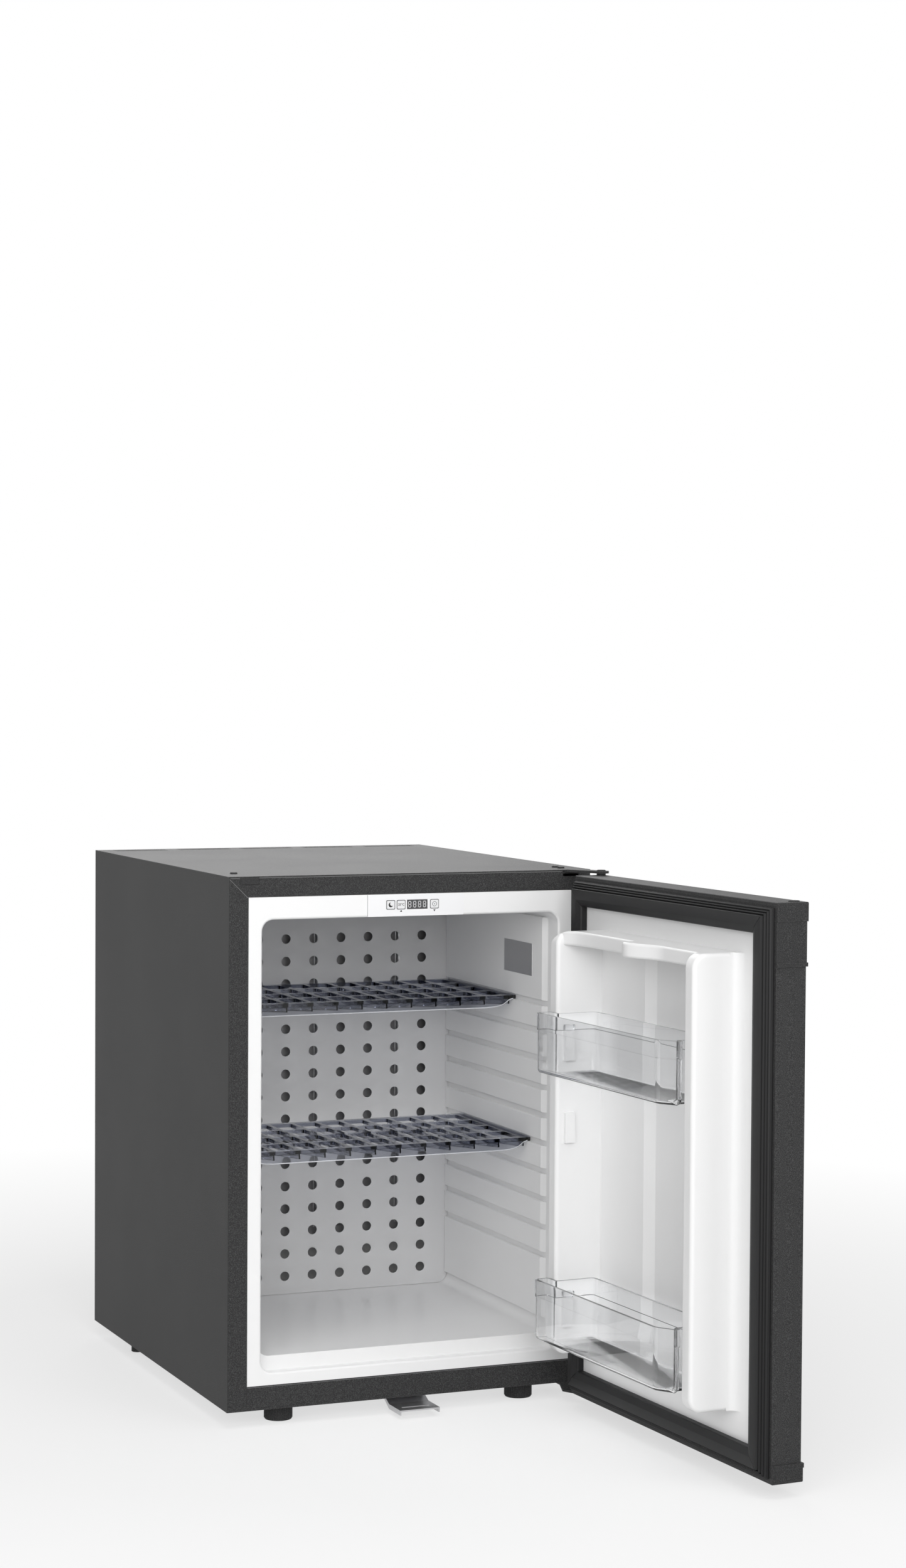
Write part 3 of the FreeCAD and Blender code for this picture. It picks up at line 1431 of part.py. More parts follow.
def condenser_wires():
    """Upright wires on both faces of the condenser tube."""
    y = condenser_y()
    low = condenser_bottom - condenser_wire_overhang
    length = (condenser_runs - 1) * condenser_pitch + 2 * condenser_wire_overhang
    off = condenser_tube_radius + condenser_wire_radius + condenser_wire_gap
    wires = []
    for index in range(condenser_wire_count):
        x = (index - (condenser_wire_count - 1) / 2) * condenser_wire_pitch
        for side in (-1, 1):
            wires.append(rod(condenser_wire_radius, length, x, y + side * off, low))
    return Part.makeCompound(wires)


def condenser_clips():
    """Four clips from the tube's bends to the rear flanges."""
    y = condenser_y() + condenser_tube_radius + condenser_wire_gap
    t = condenser_clip_thickness
    x0 = condenser_half_span + condenser_pitch / 2 - condenser_clip_lap
    x1 = half_width - rear_flange + condenser_clip_lap
    clips = []
    for side, run in ((-1, 1), (-1, condenser_runs - 3), (1, 0), (1, condenser_runs - 2)):
        z = condenser_bottom + run * condenser_pitch + (condenser_pitch - condenser_clip_height) / 2
        top = z + condenser_clip_height
        clip = fused([block(x0, x1, y, y + t, z, top), block(x1 - t, x1, y, rear - sheet, z, top)])
        clips.append(clip if side > 0 else mirror_x(clip))
    return Part.makeCompound(clips)


def machine_y():
    """Middle of the machine space, front to back."""
    return (foam_back + sheet + rear - sheet) / 2


def compressor():
    """Sealed compressor: domed shell with a welded rim on a foot plate."""
    x = compressor_x
    y = machine_y()
    base = sheet + compressor_lift
    low = base + compressor_foot_plate
    r = compressor_radius
    shell = rod(r, compressor_height, x, y, low)
    shell = soften(shell, compressor_dome, lambda e: e.BoundBox.ZMin > low + compressor_dome)
    shell = soften(shell, compressor_waist, lambda e: e.BoundBox.ZMax < low + compressor_waist / 2)
    rim = rod(r + compressor_rim, compressor_rim_height, x, y, low + compressor_height / 2)
    half_l = compressor_foot_length / 2
    half_w = compressor_foot_width / 2
    plate = block(x - half_l, x + half_l, y - half_w, y + half_w, base, low)
    plate = soften(plate, grommet_inset, lambda e: runs_along(e, 2))
    body = fused([shell, rim, plate])
    for gx, gy in grommet_places():
        body = body.cut(rod(bolt_radius + seam, 2 * overrun, gx, gy, base - overrun))
    return body


def grommet_places():
    """Centres of the four compressor mounts."""
    half_l = compressor_foot_length / 2 - grommet_inset
    half_w = compressor_foot_width / 2 - grommet_inset
    return [(compressor_x + sx * half_l, machine_y() + sy * half_w) for sx in (-1, 1) for sy in (-1, 1)]


def compressor_grommets():
    """Four rubber mounts between the base and the compressor's foot plate."""
    return Part.makeCompound([rod(grommet_radius, compressor_lift, x, y, sheet).cut(
        rod(grommet_bore, compressor_lift + 2 * overrun, x, y, sheet - overrun)) for x, y in grommet_places()])


def compressor_bolts():
    """Four bolts down through the foot plate and the mounts."""
    z = sheet + compressor_lift + compressor_foot_plate
    return Part.makeCompound([fused([rod(bolt_head_radius, bolt_head_height, x, y, z),
                                     rod(bolt_radius, z - sheet, x, y, sheet)]) for x, y in grommet_places()])


def relay_cover():
    """Electrical cover on the compressor's side."""
    y = machine_y()
    x0 = compressor_x + compressor_radius
    z = sheet + compressor_lift + compressor_foot_plate + relay_lift - relay_height / 2
    body = block(x0 - compressor_waist, x0 + relay_depth, y - relay_width / 2, y + relay_width / 2, z, z + relay_height)
    body = soften(body, power_corner, lambda e: e.BoundBox.XMin > x0)
    shell = rod(compressor_radius + compressor_rim + seam, cabinet_height, compressor_x, y, 0)
    return body.cut(shell)


def suction_place():
    """Where the suction pipe leaves the back panel."""
    return compressor_x + compressor_radius / 2, evaporator_bottom + 2 * evaporator_clip_inset


def capillary_place():
    """Where the drier's line enters the back panel."""
    return drier_x, drier_bottom + drier_length + 3 * drier_neck


def compressor_top():
    """Top of the compressor's shell."""
    return sheet + compressor_lift + compressor_foot_plate + compressor_height


def evaporator_back():
    """Rear face of the evaporator plate."""
    return cover_front + cover_thickness + evaporator_setback + evaporator_thickness


def discharge_pipe():
    """Pipe from the compressor up to the condenser's top run."""
    x = compressor_x - compressor_radius / 2
    y = machine_y()
    rise = compressor_top() + pipe_rise
    side = -condenser_half_span - condenser_pitch / 2 - condenser_tube_radius - pipe_side_gap - pipe_spacing
    top = condenser_bottom + (condenser_runs - 1) * condenser_pitch
    points = [Vector(x, y, compressor_top() + seam), Vector(x, y, rise), Vector(side, y, rise), Vector(side, y, top),
              Vector(side, condenser_y(), top), Vector(-condenser_half_span - seam, condenser_y(), top)]
    return pipe(points, pipe_radius, 3 * pipe_radius)


def suction_pipe():
    """Pipe from the evaporator through the back panel down to the compressor."""
    x, z = suction_place()
    points = [Vector(x, evaporator_back() + seam, z), Vector(x, machine_y(), z),
              Vector(x, machine_y(), compressor_top() + seam)]
    return pipe(points, pipe_radius, 3 * pipe_radius)


def filter_drier():
    """Copper drier between the condenser's lowest run and the line to the evaporator."""
    x = drier_x
    y = machine_y() - drier_y_offset
    z0 = drier_bottom
    z1 = z0 + drier_length
    r = drier_radius
    n = pipe_radius
    body = rod(r, drier_length, x, y, z0)
    lower = Part.makeCone(n, r, drier_neck, Vector(x, y, z0 - drier_neck))
    upper = Part.makeCone(r, n, drier_neck, Vector(x, y, z1))
    out_z = capillary_place()[1]
    to_evaporator = pipe([Vector(x, y, z1 + drier_neck), Vector(x, y, out_z),
                          Vector(x, evaporator_back() + seam, out_z)], n, 3 * n)
    side = -condenser_half_span - condenser_pitch / 2 - condenser_tube_radius - pipe_side_gap
    turn = z0 - 2 * drier_neck
    back = condenser_y()
    from_condenser = pipe([Vector(x, y, z0 - drier_neck), Vector(x, y, turn), Vector(side, y, turn),
                           Vector(side, y, condenser_bottom), Vector(side, back, condenser_bottom),
                           Vector(-condenser_half_span - seam, back, condenser_bottom)], n, 3 * n)
    return fused([body, lower, upper, to_evaporator, from_condenser])


def drain_inlet():
    """Drain hole in the liner's floor behind the evaporator cover."""
    return tray_x, (cover_front + cover_thickness + liner_back) / 2, cavity_floor


def drain_tube():
    """Funnel under the liner's drain hole and its spout through the back panel."""
    x, y, _ = drain_inlet()
    top = cavity_floor - liner_wall - seam
    low = drain_height
    drop = rod(drain_funnel_radius, top - low, x, y, low)
    end = foam_back + 4 * overrun
    ball = Part.makeSphere(drain_radius, Vector(x, y, low))
    spout = rod(drain_radius, end - y, x, y, low, Vector(0, 1, 0))
    bore = rod(drain_radius - drain_wall, end - y + overrun, x, y, low, Vector(0, 1, 0))
    well = rod(drain_radius - drain_wall, top - low + overrun, x, y, low)
    return fused([drop, ball, spout]).cut(bore).cut(well)


def drip_tray():
    """Open tray that catches the drain's water."""
    y = machine_y()
    x0, x1 = tray_x - tray_length / 2, tray_x + tray_length / 2
    y0, y1 = y - tray_depth / 2, y + tray_depth / 2
    w = tray_wall
    tray = block(x0, x1, y0, y1, sheet, sheet + tray_height)
    tray = soften(tray, tray_corner, lambda e: runs_along(e, 2))
    hollow = block(x0 + w, x1 - w, y0 + w, y1 - w, sheet + w, sheet + tray_height + overrun)
    return tray.cut(soften(hollow, tray_corner - w, lambda e: runs_along(e, 2)))


def power_box():
    """Closed box with the power electronics, on the base."""
    y = foam_back + sheet
    x0, x1 = power_x - power_width / 2, power_x + power_width / 2
    box = block(x0, x1, y, y + power_depth, sheet, sheet + power_height)
    return soften(box, power_corner, lambda e: e.BoundBox.YMin > y + seam)


def inlet_plate():
    """Upright plate behind the machine space that carries the mains inlet."""
    half = inlet_plate_width / 2
    t = sheet
    right = half_width - sheet
    y = rear - sheet
    plate = block(inlet_x - half, right, y - t, y, sheet, inlet_plate_height)
    return plate.cut(block(inlet_x - inlet_width / 2 - seam, inlet_x + inlet_width / 2 + seam, y - overrun, y + overrun,
                           inlet_z - inlet_height / 2 - seam, inlet_z + inlet_height / 2 + seam))


def mains_inlet():
    """Three-pin mains inlet socket."""
    y = rear - sheet
    w, h = inlet_width / 2, inlet_height / 2
    body = block(inlet_x - w, inlet_x + w, y - inlet_depth, y, inlet_z - h, inlet_z + h)
    rim = inlet_recess_edge
    face = block(inlet_x - w - rim, inlet_x + w + rim, y, y + sheet, inlet_z - h - rim, inlet_z + h + rim)
    socket = fused([body, soften(face, rim, lambda e: runs_along(e, 1))])
    hollow = block(inlet_x - w + rim, inlet_x + w - rim, y - inlet_recess, y + overrun, inlet_z - h + rim, inlet_z + h - rim)
    socket = socket.cut(hollow)
    pins = []
    for index, drop in ((-1, 0), (0, rim), (1, 0)):
        x = inlet_x + index * inlet_pin_pitch
        pins.append(block(x - inlet_pin_width / 2, x + inlet_pin_width / 2, y - inlet_recess - rim / 2, y - rim / 2,
                          inlet_z - inlet_pin_height / 2 - drop / 2, inlet_z + inlet_pin_height / 2 - drop / 2))
    return fused([socket] + pins)


def all_pieces():
    """Every piece by name."""
    pieces = {}
    left = side_panel()
    pieces["side_panel_left"] = left
    pieces["side_panel_right"] = mirror_x(left)
    pieces["top_rail"] = top_rail()
    pieces["bottom_rail"] = bottom_rail()
    pieces["top_panel"] = top_panel()
    pieces["top_screws"] = Part.makeCompound([machine_screw(x, y, cabinet_height) for x, y in top_screw_places()])
    pieces["base_panel"] = base_panel()
    pieces["back_panel"] = back_panel()
    pieces["insulation_foam"] = insulation_foam()
    pieces["inner_liner"] = inner_liner()
    pieces["evaporator_cover"] = evaporator_cover()
    pieces["evaporator_plate"] = evaporator_plate()
    pieces["evaporator_clips"] = evaporator_clips()
    level = groove_floor(shelf_upper_groove) + seam
    pieces["shelf_upper"] = shelf(front + shelf_upper_front, level)
    level = groove_floor(shelf_lower_groove) + seam
    pieces["shelf_lower"] = shelf(front + shelf_lower_front, level)
    pieces["blank_plate"] = blank_plate()
    pieces["control_housing"] = control_housing()
    pieces["display_window"] = display_window()
    pieces["control_board"] = control_board()
    for number, x in enumerate(button_places):
        pieces["button_" + str(number + 1)] = button(x)
    pieces["lamp_lens"] = lamp_lens()
    pieces["top_hinge_plate"] = top_hinge_plate()
    pieces["bottom_hinge_plate"] = bottom_hinge_plate()
    pieces["hinge_pins"] = hinge_pins()
    pieces["hinge_screws"] = hinge_screws()
    pieces["hinge_slot_cover"] = slot_cover()
    pieces["fixing_bracket"] = fixing_bracket()
    pieces["bracket_screws"] = bracket_screws()
    pieces["foot_front_left"] = front_foot(-1)
    pieces["foot_front_right"] = front_foot(1)
    pieces["foot_nuts"] = foot_nuts()
    pieces["rear_feet"] = rear_feet()
    pieces["door_skin"] = swing(door_skin())
    pieces["door_top_cap"] = swing(door_cap(door_top, 1))
    pieces["door_bottom_cap"] = swing(door_cap(-door_drop, -1))
    pieces["door_grip"] = swing(door_grip())
    pieces["door_foam"] = swing(door_foam())
    pieces["door_liner"] = swing(door_liner())
    pieces["door_gasket"] = swing(door_gasket())
    pieces["hinge_bushes"] = swing(hinge_bushes())
    pieces["door_plug"] = swing(door_plug())
    pieces["basket_lower"] = swing(basket(basket_bottoms[0]))
    pieces["basket_upper"] = swing(basket(basket_bottoms[1]))
    pieces["condenser_tube"] = condenser_tube()
    pieces["condenser_wires"] = condenser_wires()
    pieces["condenser_clips"] = condenser_clips()
    pieces["compressor"] = compressor()
    pieces["compressor_grommets"] = compressor_grommets()
    pieces["compressor_bolts"] = compressor_bolts()
    pieces["relay_cover"] = relay_cover()
    pieces["filter_drier"] = filter_drier()
    pieces["discharge_pipe"] = discharge_pipe()
    pieces["suction_pipe"] = suction_pipe()
    pieces["drain_tube"] = drain_tube()
    pieces["drip_tray"] = drip_tray()
    pieces["power_box"] = power_box()
    pieces["inlet_plate"] = inlet_plate()
    pieces["mains_inlet"] = mains_inlet()
    return pieces


os.makedirs("parts", exist_ok=True)
for piece_name, piece_shape in all_pieces().items():
    save(piece_name, piece_shape)
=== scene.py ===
"""Looks of the minibar refrigerator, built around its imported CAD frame.

Pieces are modelled in millimetres, and Workpiece.finish brings them to metres. The studio is in
metres.
"""

from __future__ import annotations

import json
import logging
import math
from collections.abc import Callable, Iterable, Iterator
from contextlib import contextmanager
from dataclasses import dataclass
from enum import Enum

import bmesh
import bpy
from mathutils import Matrix, Vector

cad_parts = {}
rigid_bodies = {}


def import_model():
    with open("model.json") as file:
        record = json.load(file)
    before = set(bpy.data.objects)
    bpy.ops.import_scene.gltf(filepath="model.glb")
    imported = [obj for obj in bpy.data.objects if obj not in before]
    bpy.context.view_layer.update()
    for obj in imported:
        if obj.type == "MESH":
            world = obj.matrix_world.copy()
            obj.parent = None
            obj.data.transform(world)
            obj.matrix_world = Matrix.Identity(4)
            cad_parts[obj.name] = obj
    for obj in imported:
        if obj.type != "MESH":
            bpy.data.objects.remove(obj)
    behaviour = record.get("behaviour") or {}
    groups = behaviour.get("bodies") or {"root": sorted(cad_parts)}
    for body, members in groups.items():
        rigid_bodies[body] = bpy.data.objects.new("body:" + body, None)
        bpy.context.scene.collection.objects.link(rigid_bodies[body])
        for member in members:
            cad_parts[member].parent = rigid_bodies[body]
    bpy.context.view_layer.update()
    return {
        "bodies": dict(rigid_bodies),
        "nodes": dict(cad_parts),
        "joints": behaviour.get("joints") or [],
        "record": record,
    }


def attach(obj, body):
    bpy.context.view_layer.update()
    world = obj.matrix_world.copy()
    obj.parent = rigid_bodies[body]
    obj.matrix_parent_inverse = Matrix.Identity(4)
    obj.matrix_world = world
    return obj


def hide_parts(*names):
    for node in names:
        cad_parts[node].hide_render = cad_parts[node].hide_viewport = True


log = logging.getLogger("minibar")
ops = bpy.ops
Node = bpy.types.Node
Socket = bpy.types.NodeSocket
Tree = bpy.types.NodeTree
Point = tuple[float, float, float]
Colour = tuple[float, float, float]
Pair = tuple[float, float]
Box = tuple[float, float, float, float]
Row = tuple[float, float, float, float, float]
MM = 0.001
NEAR = 0.05
CLEAR = 0.1
MERGE = 0.001
FLOOR_LEVEL = -17.5 * MM
HALF_WIDTH = 200.0
DOOR_OUTER = -284.25
DOOR_PIN = (194.0, -277.75)
DOOR_OPENING = math.radians(92.7)
DOOR_TOP = 538.1
DOOR_FOOT = -3.2
SMOOTH_ANGLE = math.radians(32.0)
LETTER_WEIGHT = 0.014
SPECK_SPAN = (0.45, 0.72)
SMUDGE_SPAN = (0.35, 0.68)
# Span and radius of the edge mask that paints highlight and shade along edges.
EDGE_PAINT_SPAN = (0.995, 0.85)
EDGE_PAINT_RADIUS = 0.0007


# Node trees

class Bench:
    """Adds and links the nodes of one node tree."""

    def __init__(self, tree: Tree) -> None:
        """Keeps the tree that nodes are added to."""
        self.tree = tree

    def add(self, kind: str, inputs: dict | None = None, **settings: object) -> Node:
        """Adds a node, sets its properties and links or fills its inputs.

        Args:
            kind: The node's type name in Blender.
            inputs: Input names or numbers, each with a value or a socket to link.
            **settings: The node's own properties.

        Returns:
            The new node.
        """
        node = self.tree.nodes.new(kind)
        for name, value in settings.items():
            setattr(node, name, value)
        for key, value in (inputs or {}).items():
            if isinstance(value, Socket):
                self.tree.links.new(value, node.inputs[key])
            else:
                node.inputs[key].default_value = value
        return node

    def place(self) -> Socket:
        """Adds the object's own coordinates and returns their socket."""
        return self.add("ShaderNodeTexCoord").outputs["Object"]

    def math(self, operation: str, *values: object) -> Socket:
        """Adds a Math node and returns its result socket."""
        node = self.add("ShaderNodeMath", dict(enumerate(values)), operation=operation)
        return node.outputs[0]

    def span(self, value: Socket, low: float, high: float,
             start: float = 0.0, end: float = 1.0) -> Socket:
        """Maps value from low..high to start..end, clamped, and returns the result socket."""
        node = self.add("ShaderNodeMapRange", {
            "Value": value, "From Min": low, "From Max": high, "To Min": start, "To Max": end})
        return node.outputs[0]

    def blend(self, share: object, first: object, second: object) -> Socket:
        """Mixes two colours by a share and returns the colour socket."""
        node = self.add("ShaderNodeMix", {0: share, 6: first, 7: second}, data_type="RGBA")
        return node.outputs[2]


class Effect(Enum):
    """Shader node groups that several finishes share."""

    GRAIN = "fine_grain"
    SMUDGE = "soft_smudges"
    EDGE = "worn_edges"

    def tree(self) -> Tree:
        """Returns the group's node tree, built at its first use."""
        found = bpy.data.node_groups.get(self.value)
        if found:
            return found
        tree = bpy.data.node_groups.new(self.value, "ShaderNodeTree")
        builders = {Effect.GRAIN: self._grain, Effect.SMUDGE: self._smudge, Effect.EDGE: self._edge}
        builders[self](tree)
        return tree

    def _open(self, tree: Tree, values: dict[str, float],
              outputs: tuple[str, ...]) -> tuple[Bench, Node, Node]:
        """Gives a group its sockets, and returns its bench and its two end nodes."""
        kind = "NodeSocketFloat"
        for name, value in values.items():
            tree.interface.new_socket(name, in_out="INPUT", socket_type=kind).default_value = value
        for name in outputs:
            tree.interface.new_socket(name, in_out="OUTPUT", socket_type=kind)
        bench = Bench(tree)
        return bench, bench.add("NodeGroupInput"), bench.add("NodeGroupOutput")

    def _grain(self, tree: Tree) -> None:
        """Fine moulded or sprayed grain, which can be drawn out along Z."""
        bench, given, made = self._open(tree, {"Scale": 900.0, "Draw": 1.0}, ("Height", "Speck"))
        stretch = bench.add("ShaderNodeCombineXYZ", {0: 1.0, 1: 1.0, 2: given.outputs["Draw"]})
        drawn = bench.add("ShaderNodeVectorMath", {0: bench.place(), 1: stretch.outputs[0]},
                          operation="MULTIPLY")
        noise = bench.add("ShaderNodeTexNoise", {
            "Vector": drawn.outputs[0], "Scale": given.outputs["Scale"], "Detail": 3.0,
            "Roughness": 0.62})
        speck = bench.span(noise.outputs[0], *SPECK_SPAN)
        tree.links.new(noise.outputs[0], made.inputs["Height"])
        tree.links.new(speck, made.inputs["Speck"])

    def _smudge(self, tree: Tree) -> None:
        """Large soft patches, as hands and wiping leave."""
        bench, given, made = self._open(tree, {"Scale": 9.0}, ("Mask",))
        noise = bench.add("ShaderNodeTexNoise", {
            "Vector": bench.place(), "Scale": given.outputs["Scale"], "Detail": 4.0,
            "Roughness": 0.55, "Distortion": 0.4})
        tree.links.new(bench.span(noise.outputs[0], *SMUDGE_SPAN), made.inputs["Mask"])

    def _edge(self, tree: Tree) -> None:
        """Edges, found where a rounded normal leaves the flat one; finishes tint them as painted
        highlight and painted shade.
        """
        bench, given, made = self._open(tree, {"Radius": 0.001}, ("Mask",))
        soft = bench.add("ShaderNodeBevel", {"Radius": given.outputs["Radius"]}, samples=4)
        flat = bench.add("ShaderNodeNewGeometry").outputs["Normal"]
        same = bench.add("ShaderNodeVectorMath", {0: soft.outputs[0], 1: flat},
                         operation="DOT_PRODUCT")
        tree.links.new(bench.span(same.outputs["Value"], *EDGE_PAINT_SPAN), made.inputs["Mask"])


# Finishes

@dataclass(frozen=True)
class Finish:
    """A surface finish: one Principled shader with grain, smudges and an edge tint, which is a
    painted highlight where edge_colour is lighter and painted shade where it is darker.

    The grain is given by its scale and its depth in millimetres.
    """

    name: str
    colour: Colour
    roughness: float = 0.5
    metallic: float = 0.0
    ior: float = 1.5
    specular: float = 0.5
    grain: Pair = (900.0, 0.0)
    draw: float = 1.0
    speck: float = 0.0
    smudge: float = 0.05
    edge: float = 0.0
    edge_colour: Colour = (0.5, 0.5, 0.5)

    def material(self) -> bpy.types.Material:
        """Builds the finish's material, or returns the one built before."""
        found = bpy.data.materials.get(f"finish_{self.name}")
        if found:
            return found
        made = bpy.data.materials.new(f"finish_{self.name}")
        made.use_nodes = True
        made.diffuse_color = (*self.colour, 1.0)
        bench = Bench(made.node_tree)
        shader = made.node_tree.nodes["Principled BSDF"]
        self.dress(bench, shader)
        return made

    def place(self, bench: Bench, effect: Effect, **values: float) -> Node:
        """Adds a shared group to a material's tree with its inputs, and returns its node."""
        node = bench.add("ShaderNodeGroup", node_tree=effect.tree())
        for name, value in values.items():
            node.inputs[name].default_value = value
        return node

    def dress(self, bench: Bench, shader: Node) -> None:
        """Sets the shader's sockets and links what varies over the surface."""
        shader.inputs["Metallic"].default_value = self.metallic
        shader.inputs["IOR"].default_value = self.ior
        shader.inputs["Specular IOR Level"].default_value = self.specular
        colour: object = (*self.colour, 1.0)
        grain = self.place(bench, Effect.GRAIN, Scale=self.grain[0], Draw=self.draw)
        if self.speck:
            light = tuple(min(1.0, c + self.speck) for c in self.colour)
            colour = bench.blend(grain.outputs["Speck"], colour, (*light, 1.0))
        # Edge tint: a painted highlight where edge_colour is lighter than the colour, painted shade
        # where it is darker.
        if self.edge:
            edge = self.place(bench, Effect.EDGE, Radius=EDGE_PAINT_RADIUS)
            edge_paint_share = bench.math("MULTIPLY", edge.outputs["Mask"], self.edge)
            colour = bench.blend(edge_paint_share, colour, (*self.edge_colour, 1.0))
        if isinstance(colour, Socket):
            bench.tree.links.new(colour, shader.inputs["Base Color"])
        else:
            shader.inputs["Base Color"].default_value = colour
        smudge = self.place(bench, Effect.SMUDGE)
        rough = bench.span(smudge.outputs["Mask"], 0.0, 1.0, self.roughness,
                           self.roughness + self.smudge)
        bench.tree.links.new(rough, shader.inputs["Roughness"])
        if self.grain[1]:
            bump = bench.add("ShaderNodeBump", {
                "Strength": 1.0, "Distance": self.grain[1] * MM, "Height": grain.outputs["Height"]})
            bench.tree.links.new(bump.outputs[0], shader.inputs["Normal"])


@dataclass(frozen=True)
class ClearFinish(Finish):
    """A see-through moulded plastic, clear across its wall and tinted along its length."""

    shade: float = 0.25
    tint: Colour = (0.6, 0.6, 0.65)
    density: float = 20.0

    def dress(self, bench: Bench, shader: Node) -> None:
        """Adds transmission, and an alpha that only shadow rays see below 1."""
        Finish.dress(self, bench, shader)
        shader.inputs["Transmission Weight"].default_value = 1.0
        shadow = bench.add("ShaderNodeLightPath").outputs["Is Shadow Ray"]
        alpha = bench.span(shadow, 0.0, 1.0, 1.0, self.shade)
        bench.tree.links.new(alpha, shader.inputs["Alpha"])
        depth = bench.add("ShaderNodeVolumeAbsorption", {
            "Color": (*self.tint, 1.0), "Density": self.density})
        bench.tree.links.new(depth.outputs[0], bench.tree.nodes["Material Output"].inputs["Volume"])


# Edge colours: painted highlights on the edges of the dark paint, dark plastic and cover, painted
# shade on the keys' edges and, slightly, on the steel's.
FINISHES: dict[str, Finish] = {f.name: f for f in (
    Finish("dark_paint", (0.025, 0.025, 0.0255), 0.5, specular=0.11, grain=(1500.0, 0.12),
           speck=0.06, smudge=0.02, edge=0.3, edge_colour=(0.13, 0.13, 0.13)),
    Finish("plain_steel", (0.55, 0.55, 0.56), 0.34, 1.0, grain=(240.0, 0.02), edge=0.3),
    Finish("white_plastic", (0.82, 0.82, 0.82), 0.28, smudge=0.015, grain=(240.0, 0.004)),
    Finish("control_white", (0.82, 0.82, 0.83), 0.3, smudge=0.02, grain=(500.0, 0.01)),
    Finish("key_white", (0.74, 0.74, 0.75), 0.34, grain=(500.0, 0.01), edge=0.5,
           edge_colour=(0.25, 0.25, 0.26)),
    Finish("dark_plastic", (0.016, 0.016, 0.0165), 0.52, specular=0.2, grain=(1300.0, 0.14),
           speck=0.05, smudge=0.02, edge=0.3, edge_colour=(0.12, 0.12, 0.12)),
    Finish("cover_grey", (0.6, 0.6, 0.605), 0.36, smudge=0.03, grain=(600.0, 0.01), edge=0.5,
           edge_colour=(0.8, 0.8, 0.8)),
    ClearFinish("clear_shelf", (0.9, 0.91, 0.94), 0.03, ior=1.45, smudge=0.02,
                tint=(0.22, 0.255, 0.375), density=160.0),
    # Light grey of the painted highlight along the shelf lip's lower edge.
    Finish("polished_edge", (0.66, 0.67, 0.7), 0.12, grain=(300.0, 0.01)),
    # Light grey of the painted highlights along the frame's folded edges.
    Finish("folded_edge", (0.17, 0.17, 0.172), 0.45, specular=0.3, grain=(900.0, 0.01)),
    # Grey of the painted shadow line along the control strip's edge.
    Finish("seam_grey", (0.32, 0.32, 0.325), 0.5, grain=(900.0, 0.01)),
    ClearFinish("clear_basket", (0.985, 0.985, 0.985), 0.02, ior=1.45, smudge=0.03, shade=0.1,
                tint=(0.62, 0.64, 0.67), density=36.0),
    ClearFinish("clear_lens", (0.9, 0.92, 0.94), 0.35, ior=1.45, density=10.0),
    Finish("display_glass", (0.075, 0.075, 0.078), 0.15, specular=0.3, smudge=0.04),
    Finish("gasket_rubber", (0.013, 0.013, 0.0135), 0.52, specular=0.28, grain=(700.0, 0.01),
           smudge=0.04),
    Finish("aluminium", (0.7, 0.7, 0.71), 0.32, 1.0, grain=(300.0, 0.02), draw=0.05),
    Finish("foam", (0.74, 0.66, 0.42), 0.85, grain=(420.0, 0.6)),
    Finish("board_green", (0.03, 0.16, 0.07), 0.4, grain=(400.0, 0.02)),
    Finish("compressor_paint", (0.012, 0.012, 0.012), 0.3, grain=(700.0, 0.04)),
    Finish("copper", (0.8, 0.42, 0.26), 0.28, 1.0, grain=(150.0, 0.02), smudge=0.15),
    Finish("black_rubber", (0.015, 0.015, 0.015), 0.7, grain=(700.0, 0.05)),
    Finish("silver_plate", (0.6, 0.6, 0.61), 0.38, 0.85, grain=(500.0, 0.02), draw=0.04),
    Finish("wire_paint", (0.014, 0.014, 0.015), 0.35, grain=(700.0, 0.03)),
)}


# Studio

@dataclass(frozen=True)
class Viewpoint:
    """The photograph's camera, in metres and radians; yaw turns from +Y to +X."""

    position: Point = (-1.18248, -3.15258, 0.75048)
    yaw: float = 0.39803
    pitch: float = 0.037187
    roll: float = 0.006114
    focal_pixels: float = 4891.3
    tall_pixels: int = 2500
    sensor: float = 36.0
    reach: float = 60.0

    def place(self) -> None:
        """Makes the camera."""
        cosine, sine = math.cos(self.yaw), math.sin(self.yaw)
        level_share, drop = math.cos(self.pitch), math.sin(self.pitch)
        ahead = Vector((sine * level_share, cosine * level_share, -drop))
        level = Vector((cosine, -sine, 0.0))
        upright = level.cross(ahead)
        right = math.cos(self.roll) * level + math.sin(self.roll) * upright
        up = right.cross(ahead)
        data = bpy.data.cameras.new("camera")
        data.sensor_width = self.sensor
        data.lens = self.focal_pixels / self.tall_pixels * self.sensor
        data.clip_end = self.reach
        camera = bpy.data.objects.new("camera", data)
        bpy.context.scene.collection.objects.link(camera)
        turn = Matrix((right, up, -ahead)).transposed().to_4x4()
        camera.matrix_world = Matrix.Translation(self.position) @ turn
        bpy.context.scene.camera = camera


@dataclass(frozen=True)
class Softbox:
    """One square studio lamp that points at the object."""

    name: str
    position: Point
    size: float
    power: float
    aim: Point = (0.0, -0.1, 0.25)

    def place(self) -> None:
        """Makes the lamp."""
        data = bpy.data.lights.new(self.name, "AREA")
        data.size = self.size
        data.energy = self.power
        lamp = bpy.data.objects.new(self.name, data)
        bpy.context.scene.collection.objects.link(lamp)
        lamp.location = self.position
        direction = Vector(self.aim) - Vector(self.position)
        lamp.rotation_euler = direction.to_track_quat("-Z", "Y").to_euler()


